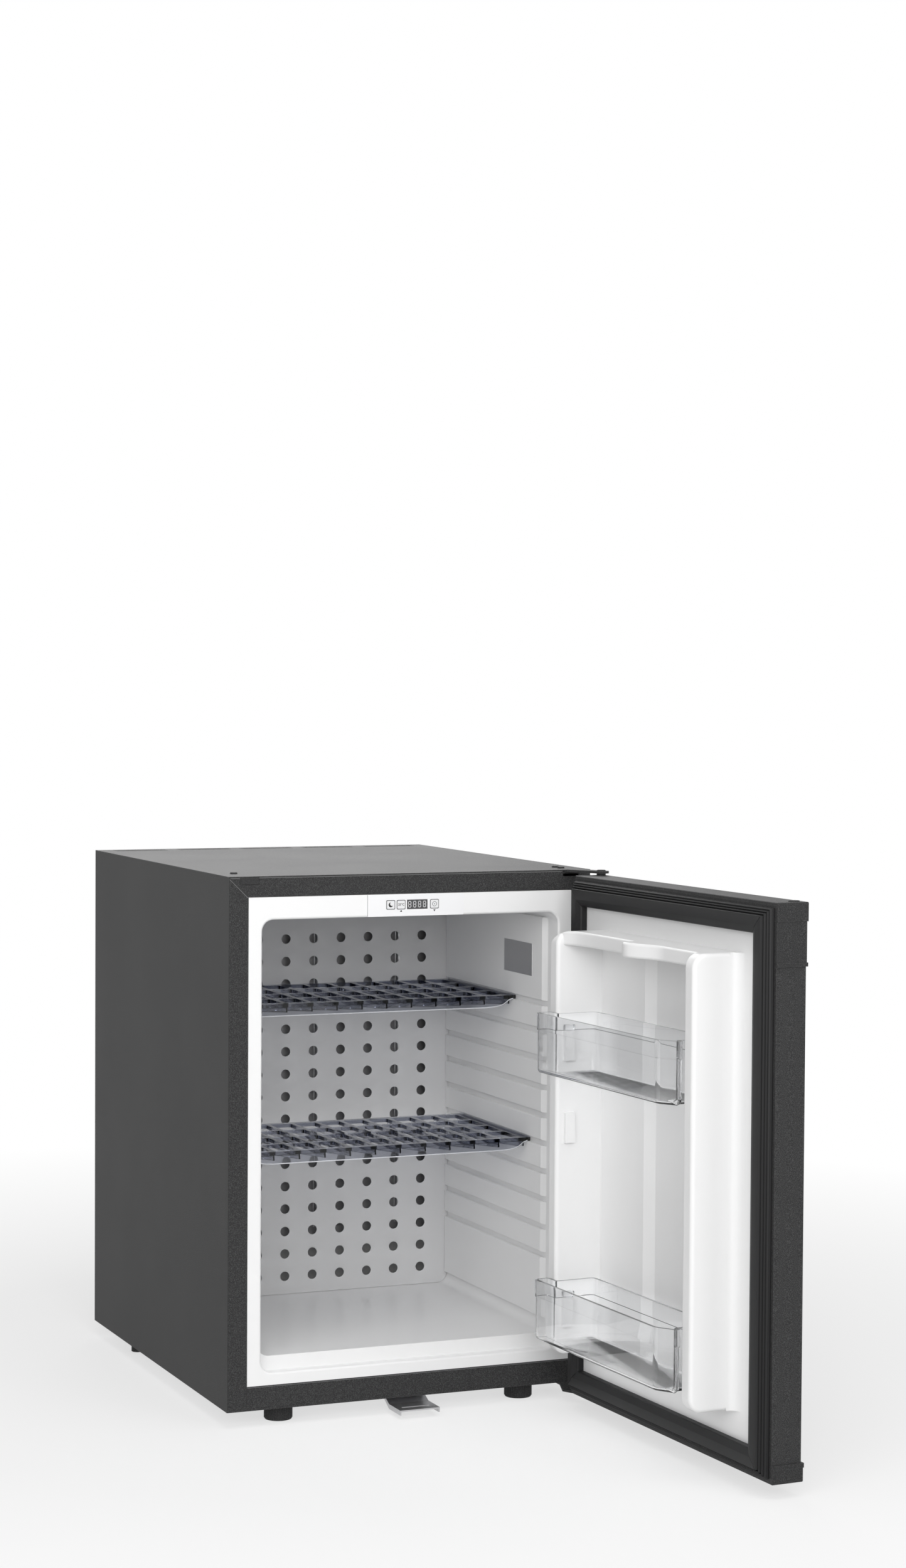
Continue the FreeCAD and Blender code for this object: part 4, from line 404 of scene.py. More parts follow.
@dataclass
class Studio:
    """Pale floor, white surround, soft lamps and camera."""

    ambient: float = 0.18
    floor_half: float = 14.0
    floor_colour: float = 0.9
    floor_glow: float = 0.6
    floor_fade: Pair = (0.55, 1.6)
    lamps: tuple[Softbox, ...] = (
        Softbox("key_lamp", (-0.9, -3.6, 1.5), 1.8, 52.0),
        Softbox("side_lamp", (-2.6, -2.6, 1.7), 2.0, 34.0),
        Softbox("fill_lamp", (1.8, -3.2, 1.2), 1.6, 16.0),
        Softbox("top_lamp", (-0.2, -1.2, 2.6), 2.0, 26.0),
        Softbox("back_lamp", (0.6, 2.8, 1.8), 2.0, 25.0),
    )

    @staticmethod
    def seen(bench: Bench) -> Socket:
        """Returns a socket that is 1 for rays that show the background."""
        path = bench.add("ShaderNodeLightPath")
        both = bench.math("MAXIMUM", path.outputs["Is Camera Ray"], path.outputs["Is Glossy Ray"])
        return bench.math("MAXIMUM", both, path.outputs["Is Transmission Ray"])

    def surround(self) -> None:
        """Makes the world white to the eye and soft as a light."""
        world = bpy.data.worlds.new("surround")
        world.use_nodes = True
        bpy.context.scene.world = world
        bench = Bench(world.node_tree)
        shade = world.node_tree.nodes["Background"]
        shade.inputs["Color"].default_value = (1.0, 1.0, 1.0, 1.0)
        strength = bench.span(self.seen(bench), 0.0, 1.0, self.ambient, 1.0)
        world.node_tree.links.new(strength, shade.inputs["Strength"])

    def floor(self) -> None:
        """Makes the floor, which keeps the object's shadow."""
        ops.mesh.primitive_plane_add(size=2 * self.floor_half, location=(0.0, 0.0, FLOOR_LEVEL))
        floor = bpy.context.object
        floor.name = "floor"
        made = bpy.data.materials.new("floor_paper")
        made.use_nodes = True
        bench = Bench(made.node_tree)
        made.node_tree.nodes.remove(made.node_tree.nodes["Principled BSDF"])
        paper = bench.add("ShaderNodeBsdfDiffuse", {"Color": (self.floor_colour,) * 3 + (1.0,)})
        glow = bench.add("ShaderNodeEmission", {"Strength": 1.0})
        reach = bench.add("ShaderNodeVectorMath", {0: bench.place()}, operation="LENGTH")
        far = bench.span(reach.outputs["Value"], *self.floor_fade, self.floor_glow, 1.0)
        share = bench.math("MULTIPLY", self.seen(bench), far)
        mix = bench.add("ShaderNodeMixShader", {0: share, 1: paper.outputs[0], 2: glow.outputs[0]})
        end = made.node_tree.nodes["Material Output"]
        made.node_tree.links.new(mix.outputs[0], end.inputs[0])
        floor.data.materials.append(made)

    def build(self) -> None:
        """Makes the whole studio."""
        self.surround()
        self.floor()
        for lamp in self.lamps:
            lamp.place()
        Viewpoint().place()
        bpy.context.scene.view_settings.view_transform = "Standard"


# Modelling

class Start(Enum):
    """Primitives that a piece can be shaped from."""

    PLANE = "plane"
    CIRCLE = "circle"
    CUBE = "cube"
    CYLINDER = "cylinder"


class Workpiece:
    """A mesh in millimetres under the modelling operators."""

    def __init__(self, name: str, start: Start, **settings: object) -> None:
        """Adds the primitive and takes it into hand.

        Args:
            name: The piece's name.
            start: The primitive that it begins as.
            **settings: The primitive's own size and place, in millimetres.
        """
        ops.object.select_all(action="DESELECT")
        getattr(ops.mesh, f"primitive_{start.value}_add")(**settings)
        self.item = bpy.context.object
        self.item.name = name
        self.settle()

    @classmethod
    def letters(cls, name: str, body: str, size: float, depth: float) -> Workpiece:
        """Makes letters as a mesh that stands a little to both sides of its plane."""
        ops.object.select_all(action="DESELECT")
        ops.object.text_add()
        item = bpy.context.object
        item.name = name
        item.data.body = body
        item.data.size = size
        item.data.align_x, item.data.align_y = "CENTER", "CENTER"
        item.data.extrude = depth
        item.data.offset = size * LETTER_WEIGHT
        ops.object.convert(target="MESH")
        work = cls.__new__(cls)
        work.item = bpy.context.object
        work.close_up()
        return work

    @classmethod
    def tag(cls, name: str, size: Pair, corner: float, steps: int, depth: float) -> Workpiece:
        """Makes a thin rectangular tag about the origin with rounded or cut corners."""
        work = cls(name, Start.PLANE, size=1.0)
        with work.editing():
            work.spread(*size)
            work.round_points(corner, steps)
        work.thicken(depth)
        return work

    @classmethod
    def disc(cls, name: str, sides: int, radius: float, **settings: object) -> Workpiece:
        """Makes a flat disc with its face up."""
        return cls(name, Start.CIRCLE, vertices=sides, radius=radius, fill_type="NGON", **settings)

    @classmethod
    def merged(cls, name: str, parts: Iterable[Workpiece]) -> Workpiece:
        """Joins pieces into one with a name of its own."""
        first, *others = parts
        first.take(*others)
        first.item.name = name
        return first

    @staticmethod
    def settle() -> None:
        """Puts the object's place, turn and scale into its mesh."""
        ops.object.transform_apply(location=True, rotation=True, scale=True)

    @contextmanager
    def editing(self) -> Iterator[None]:
        """Opens the mesh with nothing selected, and closes it at the end."""
        self.hold()
        ops.object.mode_set(mode="EDIT")
        ops.mesh.select_all(action="DESELECT")
        yield
        ops.object.mode_set(mode="OBJECT")

    def hold(self) -> None:
        """Makes this the only selected and active object."""
        ops.object.select_all(action="DESELECT")
        self.item.select_set(True)
        bpy.context.view_layer.objects.active = self.item

    def pick(self, mode: str, parts: str, test: Callable[..., bool]) -> None:
        """Selects the faces, edges or points of the open mesh that pass a test."""
        ops.mesh.select_mode(type=mode)
        ops.mesh.select_all(action="DESELECT")
        mesh = bmesh.from_edit_mesh(self.item.data)
        for part in getattr(mesh, parts):
            part.select_set(test(part))
        bmesh.update_edit_mesh(self.item.data)

    def pick_faces(self, test: Callable[[Vector, Vector], bool]) -> None:
        """Selects the faces whose middle and normal pass a test."""
        self.pick("FACE", "faces", lambda face: test(face.calc_center_median(), face.normal))

    def pick_edges(self, test: Callable[[Vector, Vector], bool]) -> None:
        """Selects the edges whose two ends pass a test."""
        self.pick("EDGE", "edges", lambda edge: test(edge.verts[0].co, edge.verts[1].co))

    def pick_open_edges(self, test: Callable[[Vector, Vector], bool]) -> None:
        """Selects the edges with fewer than two faces whose two ends pass a test."""
        self.pick("EDGE", "edges", lambda edge: (
            len(edge.link_faces) < 2 and test(edge.verts[0].co, edge.verts[1].co)))

    def pick_points(self, test: Callable[[Vector], bool]) -> None:
        """Selects the vertices whose place passes a test."""
        self.pick("VERT", "verts", lambda point: test(point.co))

    @staticmethod
    def pick_all() -> None:
        """Selects the whole open mesh."""
        ops.mesh.select_all(action="SELECT")

    @staticmethod
    def draw(step: Point) -> None:
        """Extrudes what is selected by a step."""
        ops.mesh.extrude_region_move(TRANSFORM_OT_translate={"value": step})

    @staticmethod
    def round_points(reach: float, steps: int) -> None:
        """Rounds the selected points of an open flat mesh."""
        ops.mesh.bevel(offset=reach, segments=steps, affect="VERTICES")

    def spread(self, wide: float, deep: float) -> None:
        """Scales the whole open mesh in its plane and leaves it selected."""
        self.pick_all()
        ops.transform.resize(value=(wide, deep, 1.0))

    def weigh(self, name: str, share: Callable[[Vector], float]) -> str:
        """Gives the vertices a named weight from their place, and returns the name."""
        group = self.item.vertex_groups.new(name=name)
        for point in self.item.data.vertices:
            group.add([point.index], share(point.co), "REPLACE")
        return name

    def modify(self, kind: str, **settings: object) -> None:
        """Adds a modifier and applies it."""
        self.hold()
        modifier = self.item.modifiers.new(kind.lower(), kind)
        for name, value in settings.items():
            setattr(modifier, name, value)
        ops.object.modifier_apply(modifier=modifier.name)

    def repeat(self, count: int, shift: Point, **settings: object) -> None:
        """Repeats the mesh so many times, each a shift from the one before."""
        self.modify("ARRAY", count=count, use_relative_offset=False, use_constant_offset=True,
                    constant_offset_displace=shift, **settings)

    def soften(self, width: float, angle: float = 50.0) -> None:
        """Rounds every edge that turns by more than an angle in degrees."""
        self.modify("BEVEL", width=width, segments=2, limit_method="ANGLE",
                    angle_limit=math.radians(angle))

    def cross(self, other: Workpiece, operation: str) -> None:
        """Joins or cuts with another piece by a Boolean, and removes the other."""
        self.modify("BOOLEAN", object=other.item, operation=operation, solver="MANIFOLD")
        bpy.data.objects.remove(other.item)

    def take(self, *others: Workpiece) -> None:
        """Joins other pieces into this one."""
        self.hold()
        for other in others:
            other.item.select_set(True)
        ops.object.join()

    def twin(self, name: str, shift: Point = (0.0, 0.0, 0.0)) -> Workpiece:
        """Copies the piece with its own mesh to a place a shift away."""
        self.hold()
        ops.object.duplicate(linked=False)
        copy = object.__new__(Workpiece)
        copy.item = bpy.context.object
        copy.item.name = name
        copy.item.location = shift
        copy.settle()
        return copy

    def close_up(self) -> None:
        """Merges doubles and turns the faces outward."""
        with self.editing():
            self.pick_all()
            ops.mesh.remove_doubles(threshold=MERGE)
            ops.mesh.normals_make_consistent(inside=False)

    def stand(self, turn: Matrix) -> None:
        """Moves the mesh, still in millimetres, by a matrix."""
        self.hold()
        self.item.matrix_world = turn
        self.settle()

    def move(self, place: Point, turn: float = 0.0) -> None:
        """Turns the mesh about Z and moves it to a place, in millimetres."""
        self.stand(Matrix.Translation(place) @ Matrix.Rotation(turn, 4, "Z"))

    def face_front(self, face: float) -> None:
        """Turns a face-up mesh to face forward, with its plane at a depth."""
        self.stand(Matrix(((1, 0, 0, 0), (0, 0, -1, face), (0, 1, 0, 0), (0, 0, 0, 1))))

    def thicken(self, depth: float, sunk: float = 0.03) -> None:
        """Pushes a flat face-up shape up by a depth, from a little below its plane."""
        with self.editing():
            self.pick_all()
            ops.transform.translate(value=(0.0, 0.0, -sunk))
            self.draw((0.0, 0.0, depth + sunk))
        self.close_up()

    def finish(self, body: str, slot: str, replaced: str = "", hung: bool = False,
               coat: str = "") -> None:
        """Args:
            body: The body that it rides on.
            slot: The material slot that it takes its finish from.
            replaced: The CAD node that it stands for, if any.
            hung: True for a piece modelled on the closed door.
            coat: The finish, where it isn't the slot's own.
        """
        if hung:
            pin = Vector((*DOOR_PIN, 0.0))
            turn = Matrix.Rotation(DOOR_OPENING, 4, "Z")
            self.stand(Matrix.Translation(pin) @ turn @ Matrix.Translation(-pin))
        self.stand(Matrix.Scale(MM, 4))
        ops.object.shade_smooth_by_angle(angle=SMOOTH_ANGLE)
        self.item.data.materials.clear()
        self.item.data.materials.append(FINISHES[coat or slot].material())
        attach(self.item, body)
        if replaced:
            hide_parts(replaced)
        log.info("%s rides on %s with %s", self.item.name, body, slot)


# Door

@dataclass
class DoorGasket:
    """Magnetic gasket: a skirt, three folds, a flat magnet band and a falling inner band."""

    foot: float = 34.0
    start: float = 5.1
    profile: tuple[Pair, ...] = (
        (5.15, 2.5), (5.9, 2.7), (6.1, 4.6), (7.2, 4.8), (7.4, 3.0), (7.9, 2.9), (8.1, 6.4),
        (9.3, 6.6), (9.5, 4.4), (10.1, 4.3), (10.3, 8.5), (11.4, 8.7), (11.6, 5.9), (12.4, 5.8),
        (12.7, 11.1), (22.8, 11.2), (28.9, 8.8), (29.9, 7.4), (30.0, 1.5))
    round: float = 0.22
    round_angle: float = 40.0
    band: float = 6.0
    mitre_width: float = 0.3
    mitre_depth: float = 0.6

    def off_mitre(self, place: Vector) -> float:
        """Returns how far a point lies from the nearest mitre, in millimetres."""
        side = HALF_WIDTH - abs(place.x)
        end = min(place.z - DOOR_FOOT, DOOR_TOP - place.z)
        return abs(side - end)

    def build(self) -> None:
        """Insets a rectangle step by step, closes the ring and scores the mitres."""
        middle = (DOOR_TOP + DOOR_FOOT) / 2
        work = Workpiece("gasket_folds", Start.PLANE, size=1.0, rotation=(-math.pi / 2, 0.0, 0.0),
                         location=(0.0, DOOR_OUTER + self.foot, middle))
        with work.editing():
            work.pick_all()
            wide = 2 * (HALF_WIDTH - self.start)
            tall = DOOR_TOP - DOOR_FOOT - 2 * self.start
            ops.transform.resize(value=(wide, 1.0, tall))
            before = (self.start, 0.0)
            for step in self.profile:
                ops.mesh.inset(thickness=step[0] - before[0], depth=step[1] - before[1])
                before = step
            ops.mesh.delete(type="FACE")
            work.pick_open_edges(lambda a, b: True)
            ops.mesh.bridge_edge_loops()
        work.close_up()
        work.soften(self.round, self.round_angle)
        low = DOOR_OUTER + self.foot + self.band
        with work.editing():
            work.pick_edges(lambda a, b: min(a.y, b.y) > low and self.off_mitre(a) < NEAR
                            and self.off_mitre(b) < NEAR)
            ops.mesh.bevel(offset=self.mitre_width, segments=2, affect="EDGES")
            work.pick_points(lambda p: p.y > low and self.off_mitre(p) < NEAR)
            ops.transform.translate(value=(0.0, -self.mitre_depth, 0.0))
        work.finish("door", "gasket_rubber", "door_gasket", hung=True)


@dataclass
class DoorBasket:
    """Clear basket: a T-shaped tray with one cut corner, a thicker rim band and two hooks.

    The plan gives the inner face in the closed door's own measures: u from the hinge end, t from
    the door's outer face.
    """

    name: str = "basket_upper_clear"
    node: str = "basket_upper"
    low: float = 342.5
    height: float = 61.0
    rim: float = 17.2
    rim_wall: float = 3.2
    rim_step: float = 0.2
    wall: float = 2.2
    wide: Pair = (51.2, 316.7)
    narrow: Pair = (68.2, 308.8)
    deep: Point = (45.7, 88.6, 100.8)
    cut_start: float = 298.05
    corner: float = 3.0
    tip_corner: float = 2.15
    foot: float = 1.6
    soft: float = 0.4
    hooks: tuple[Pair, ...] = ((60.4, 67.0), (310.0, 316.6))
    hook_depth: Pair = (65.6, 76.6)
    hook_rise: Pair = (43.15, 49.15)
    hook_round: float = 1.0

    @staticmethod
    def at(u: float, t: float, z: float = 0.0) -> Vector:
        """Turns the door's measures into a closed-door place."""
        return Vector((HALF_WIDTH - u, DOOR_OUTER + t, z))

    def plan(self) -> Workpiece:
        """Cuts the inner plan out of a plane."""
        back, step, far = self.deep
        low = self.low + self.wall
        a, b = self.at(self.wide[1], back, low), self.at(self.wide[0], far, low)
        work = Workpiece(self.name, Start.PLANE, size=1.0, location=(a + b) / 2)
        left, right = self.at(self.narrow[0], 0).x, self.at(self.narrow[1], 0).x
        shelf = self.at(0, step).y
        turn, tip = self.at(self.cut_start, far, low), self.at(self.wide[1], step, low)
        slant = Vector((turn.y - tip.y, tip.x - turn.x, 0.0)).normalized()
        with work.editing():
            work.spread(b.x - a.x, b.y - a.y)
            for place, way in (((left, 0, 0), (1, 0, 0)), ((right, 0, 0), (1, 0, 0)),
                               ((0, shelf, 0), (0, 1, 0))):
                work.pick_all()
                ops.mesh.bisect(plane_co=place, plane_no=way)
            work.pick_faces(lambda p, n: p.y < shelf and not right < p.x < left)
            ops.mesh.delete(type="FACE")
            work.pick_all()
            ops.mesh.bisect(plane_co=turn, plane_no=-slant, clear_outer=slant.x > 0,
                            clear_inner=slant.x <= 0)
            work.pick_all()
            ops.mesh.remove_doubles(threshold=10 * MERGE)
            ops.mesh.dissolve_limited(angle_limit=0.01)
            point = tip.to_2d()
            for reach, near in ((self.tip_corner, True), (self.corner, False)):
                work.pick_points(
                    lambda p: ((p.to_2d() - point).length < 2 * self.tip_corner) is near)
                work.round_points(reach, 3)
        return work

    def build(self) -> None:
        """Draws the plan up, opens the top, thickens the wall and rim, and adds the hooks."""
        work = self.plan()
        rim = self.low + self.height - self.rim
        top = self.low + self.height
        with work.editing():
            work.pick_all()
            here = self.low + self.wall
            for level in (rim - self.rim_step, rim + self.rim_step, top):
                work.draw((0.0, 0.0, level - here))
                here = level
            work.pick_faces(lambda p, n: p.z > top - NEAR)
            ops.mesh.delete(type="ONLY_FACE")
        work.close_up()
        with work.editing():
            base = self.low + self.wall + NEAR
            work.pick_edges(lambda a, b: max(a.z, b.z) < base)
            ops.mesh.bevel(offset=self.foot, segments=3)
            work.pick_all()
            ops.mesh.normals_make_consistent(inside=False)
        group = work.weigh("wall", lambda p: 1.0 if p.z > rim else self.wall / self.rim_wall)
        work.modify("SOLIDIFY", thickness=self.rim_wall, offset=1.0, vertex_group=group,
                    use_even_offset=True)
        for u0, u1 in self.hooks:
            a = self.at(u0, self.hook_depth[0], self.low + self.hook_rise[0])
            b = self.at(u1, self.hook_depth[1], self.low + self.hook_rise[1])
            size = b - a
            hook = Workpiece("basket_hook", Start.CUBE, size=1.0, location=(a + b) / 2,
                             scale=(abs(size.x), size.y, size.z))
            hook.close_up()
            hook.modify("BEVEL", width=self.hook_round, segments=2)
            work.cross(hook, "UNION")
        work.soften(self.soft)
        work.finish(self.node, "clear_basket", self.node, hung=True)


# Compartment

@dataclass
class PiercedSheet:
    """A flat sheet with rows of equal holes, modelled in the XY plane with its face up."""

    name: str
    pitch: Pair
    count: tuple[int, int]
    first: Pair
    outline: Box
    corner: float
    corner_steps: int

    def hole(self) -> Workpiece:
        """Models one hole's outline about the origin; each kind of sheet gives its own."""
        raise NotImplementedError

    def rim(self, work: Workpiece) -> None:
        """Shapes the hole's edge, while the tile is open for editing."""

    def tile(self) -> Workpiece:
        """Models one hole in its own rectangle of sheet."""
        work = self.hole()
        steps = len(work.item.data.vertices) // 4
        with work.editing():
            ops.mesh.primitive_plane_add(size=1.0)
            ops.transform.resize(value=(*self.pitch, 1.0))
            ops.mesh.delete(type="ONLY_FACE")
            wide, deep = (p / 2 - CLEAR for p in self.pitch)
            work.pick_edges(lambda a, b: max(abs(a.x), abs(b.x)) > wide
                            or max(abs(a.y), abs(b.y)) > deep)
            ops.mesh.subdivide(number_cuts=steps - 1)
            work.pick_all()
            ops.mesh.bridge_edge_loops()
            self.rim(work)
        return work

    def sheet(self) -> Workpiece:
        """Repeats the tile, fills the border and turns the face up."""
        work = self.tile()
        across, along = self.pitch
        for count, shift in zip(self.count, ((across, 0.0, 0.0), (0.0, along, 0.0))):
            work.repeat(count, shift, use_merge_vertices=True, merge_threshold=10 * MERGE)
        work.move((*self.first, 0.0))
        x0, x1, y0, y1 = self.outline
        margin = Vector((CLEAR, CLEAR))
        low = Vector(self.first) - Vector(self.pitch) / 2
        high = low + Vector(n * p for n, p in zip(self.count, self.pitch)) - margin
        low += margin
        with work.editing():
            ops.mesh.primitive_plane_add(size=1.0, location=((x0 + x1) / 2, (y0 + y1) / 2, 0.0))
            ops.transform.resize(value=(x1 - x0, y1 - y0, 1.0))
            work.round_points(self.corner, self.corner_steps)
            ops.mesh.delete(type="ONLY_FACE")
            work.pick_open_edges(lambda a, b: not (low.x < (a.x + b.x) / 2 < high.x
                                                   and low.y < (a.y + b.y) / 2 < high.y))
            ops.mesh.fill()
        work.close_up()
        with work.editing():
            if bmesh.from_edit_mesh(work.item.data).faces[:][0].normal.z < 0:
                work.pick_all()
                ops.mesh.flip_normals()
        return work


@dataclass
class RearCover(PiercedSheet):
    """Perforated cover at the back of the compartment, with rounded hole rims."""

    name: str = "rear_cover"
    pitch: Pair = (32.6, 25.2)
    count: tuple[int, int] = (9, 16)
    first: Pair = (-130.4, 72.0)
    outline: Box = (-163.5, 163.5, 52.3, 497.2)
    corner: float = 11.7
    corner_steps: int = 8
    sides: int = 20
    edge: tuple[Pair, ...] = ((6.0, 0.0), (5.65, 0.15), (5.3, 0.5))
    face: float = 58.05
    thickness: float = 1.5

    def hole(self) -> Workpiece:
        """Models the round hole's outer edge."""
        return Workpiece(self.name, Start.CIRCLE, vertices=self.sides, radius=self.edge[0][0])

    def rim(self, work: Workpiece) -> None:
        """Turns the hole's edge inward and down in two steps."""
        for (before, above), (radius, below) in zip(self.edge, self.edge[1:]):
            work.pick_open_edges(lambda a, b: max(a.length, b.length) < before + CLEAR)
            work.draw((0.0, 0.0, above - below))
            scale = radius / before
            ops.transform.resize(value=(scale, scale, 1.0), center_override=(0.0, 0.0, 0.0))

    def build(self) -> None:
        """Gives the sheet its thickness and stands it up at the back."""
        work = self.sheet()
        work.modify("SOLIDIFY", thickness=self.thickness, offset=-1.0)
        work.face_front(self.face)
        work.finish("cabinet", "cover_grey", "evaporator_cover")


@dataclass
class ClearShelf(PiercedSheet):
    """Clear slotted shelf with a front lip that rises at both ends, and ribs underneath."""

    name: str = "shelf_upper_clear"
    node: str = "shelf_upper"
    pitch: Pair = (28.2, 44.45)
    count: tuple[int, int] = (11, 4)
    first: Pair = (-141.0, 27.725)
    outline: Box = (-163.5, 163.5, 0.0, 188.8)
    corner: float = 1.5
    corner_steps: int = 3
    front: float = -131.25
    top: float = 399.6
    bar: float = 5.0
    hole_corner: float = 2.5
    thickness: float = 4.0
    lip_wall: float = 2.2
    lip: tuple[Pair, ...] = ((159.7, 0.2), (155.1, 1.5), (151.7, 4.2), (148.3, 6.3), (143.6, 7.7),
                             (137.1, 8.7), (128.8, 9.2))
    lip_depth: float = 9.3
    rib_wall: float = 1.6
    rib_depth: float = 5.5
    rib_ends: Pair = (1.2, 180.8)
    soft: float = 0.45
    # The bead is the painted highlight along the lip's lower edge.
    bead: float = 0.6
    bead_proud: float = 0.1
    bead_sides: int = 10

    def hole(self) -> Workpiece:
        """Models the slot's outline, a rectangle with round corners."""
        work = Workpiece(self.name, Start.PLANE, size=1.0)
        with work.editing():
            work.spread(self.pitch[0] - self.bar, self.pitch[1] - self.bar)
            work.round_points(self.hole_corner, 3)
            ops.mesh.delete(type="ONLY_FACE")
        return work

    def hang_lip(self, work: Workpiece) -> None:
        """Draws the front edge down, less and less towards its ends."""
        with work.editing():
            for place, _drop in self.lip:
                for side in (-place, place):
                    work.pick_all()
                    ops.mesh.bisect(plane_co=(side, 0.0, 0.0), plane_no=(1.0, 0.0, 0.0))
            end = self.lip[0][0] + NEAR
            work.pick_open_edges(
                lambda a, b: max(a.y, b.y) < NEAR and max(abs(a.x), abs(b.x)) < end)
            work.draw((0.0, 0.0, -self.thickness - self.lip_depth))
            for place, drop in self.lip:
                work.pick_points(lambda p: p.z < -CLEAR and abs(abs(p.x) - place) < NEAR)
                ops.transform.translate(value=(0.0, 0.0, self.lip_depth - drop))

    def ribs(self) -> Workpiece:
        """Models one rib with a rounded foot and repeats it under every bar."""
        near, far = self.rib_ends
        tall = self.rib_depth + self.thickness / 2
        rib = Workpiece("shelf_rib", Start.CUBE, size=1.0, location=(
            self.first[0] - self.pitch[0] / 2, (near + far) / 2, -self.thickness / 2 - tall / 2),
            scale=(self.rib_wall, far - near, tall))
        foot = -self.thickness / 2 - tall + NEAR
        with rib.editing():
            rib.pick_edges(lambda a, b: max(a.z, b.z) < foot)
            ops.mesh.bevel(offset=self.rib_wall / 3, segments=2)
        rib.repeat(self.count[0] + 1, (self.pitch[0], 0.0, 0.0))
        return rib

    def polish_lip(self) -> None:
        """Runs a light grey rounded bead along the lip's lower edge, a painted highlight."""
        half = [(place, -self.thickness - drop + self.bead) for place, drop in self.lip]
        path = [(-x, z) for x, z in half] + half[::-1]
        start, level = path[0]
        work = Workpiece.disc(
            f"{self.node}_lip_edge", self.bead_sides, self.bead, rotation=(0.0, math.pi / 2, 0.0),
            location=(start, self.bead - self.bead_proud, level))
        with work.editing():
            work.pick_all()
            for before, after in zip(path, path[1:]):
                work.draw((after[0] - before[0], 0.0, after[1] - before[1]))
        work.close_up()
        work.move((0.0, self.front, self.top))
        work.finish(self.node, "clear_shelf", coat="polished_edge")

    def build(self) -> None:
        """Hangs the lip, gives the shelf its wall, adds the ribs and softens every edge."""
        work = self.sheet()
        self.hang_lip(work)
        thin = self.lip_wall / self.thickness
        group = work.weigh("wall", lambda p: thin if p.z < -CLEAR else 1.0)
        work.modify("SOLIDIFY", thickness=self.thickness, offset=-1.0, vertex_group=group,
                    use_even_offset=True)
        work.cross(self.ribs(), "UNION")
        work.soften(self.soft)
        work.move((0.0, self.front, self.top))
        work.finish(self.node, "clear_shelf", self.node)
        self.polish_lip()


@dataclass
class FrameSeams:
    """Hairlines of the case: joints and painted shade as dark strips, and painted highlights along
    the folded edges as light ones.

    A row gives a strip's two ends, each across and up, and its width.
    """

    face: float = -238.25
    sill_face: float = -237.95
    proud: float = 0.09
    end_round: float = 0.3
    strip_face: float = -238.45
    # Dark strips: joints of the top panel, the sides and the mitres, the mitre strips widened by
    # painted shade, and painted shade along the slot cover's left and lower edges.
    dark: tuple[Row, ...] = (
        (-199.3, 540.65, 167.8, 540.65, 0.7), (-199.55, 0.4, -199.55, 540.2, 0.6),
        (199.55, 0.4, 199.55, 532.8, 0.6), (-198.6, 539.9, -179.2, 521.0, 1.3),
        (198.6, 539.9, 179.2, 521.0, 1.0), (-187.75, 533.3, -187.75, 540.0, 0.8),
        (-187.9, 533.25, -168.2, 533.25, 0.6))
    # Light strips: painted highlights along the folded front edge of the top panel, the left mitre
    # and the top edge of the bottom rail.
    bright: tuple[Row, ...] = (
        (-198.4, 540.1, -188.2, 540.1, 0.45), (-167.7, 540.1, 167.6, 540.1, 0.45),
        (-199.1, 539.3, -179.4, 520.1, 0.45), (-178.4, 23.6, 178.4, 23.6, 0.4))
    sill: Row = (-178.9, 24.5, 178.9, 24.5, 0.6)
    # A grey line of painted shadow along the control strip's left edge.
    strip_side: Row = (-50.95, 498.2, -50.95, 520.2, 0.5)

    def strip(self, row: Row, face: float) -> Workpiece:
        """Models one strip with softened ends on a front face."""
        x0, z0, x1, z1, width = row
        run, rise = x1 - x0, z1 - z0
        size = (math.hypot(run, rise), width)
        work = Workpiece.tag("strip", size, width * self.end_round, 2, self.proud)
        work.move(((x0 + x1) / 2, (z0 + z1) / 2, 0.0), math.atan2(rise, run))
        work.face_front(face)
        return work

    def build(self) -> None:
        """Joins the strips into one piece for each finish."""
        sill, side = (self.sill, self.sill_face), (self.strip_side, self.strip_face)
        dark, bright = ([(row, self.face) for row in rows] for rows in (self.dark, self.bright))
        for name, slot, coat, rows in (
                ("frame_seams", "black_rubber", "", [*dark, sill]),
                ("frame_edges", "silver_plate", "folded_edge", bright),
                ("control_seam", "control_white", "seam_grey", [side])):
            work = Workpiece.merged(name, [self.strip(*row) for row in rows])
            work.finish("cabinet", slot, coat=coat)


@dataclass
class HingePins:
    """The two pins that the door turns on, each a shank with a domed head."""

    sides: int = 32
    shank: float = 3.0
    head: float = 4.6
    head_height: float = 1.1
    head_round: float = 0.6
    top: float = 542.6
    foot: float = -7.7
    reach: float = 16.4

    def build(self) -> None:
        """Models the upper pin and turns a copy over for the lower one."""
        pin = Workpiece.disc("hinge_pins_domed", self.sides, self.shank,
                             location=(*DOOR_PIN, self.top - self.reach))
        with pin.editing():
            pin.pick_all()
            pin.draw((0.0, 0.0, self.reach))
            pin.draw((0.0, 0.0, 0.0))
            ratio = self.head / self.shank
            ops.transform.resize(value=(ratio, ratio, 1.0), center_override=(*DOOR_PIN, self.top))
            pin.draw((0.0, 0.0, self.head_height))
            ops.mesh.bevel(offset=self.head_round, segments=3, affect="EDGES")
        pin.close_up()
        lower = pin.twin("lower_pin")
        lower.stand(Matrix.Translation((0.0, 0.0, self.top + self.foot))
                    @ Matrix.Scale(-1.0, 4, (0.0, 0.0, 1.0)))
        lower.close_up()
        pin.take(lower)
        pin.finish("cabinet", "dark_paint", "hinge_pins")


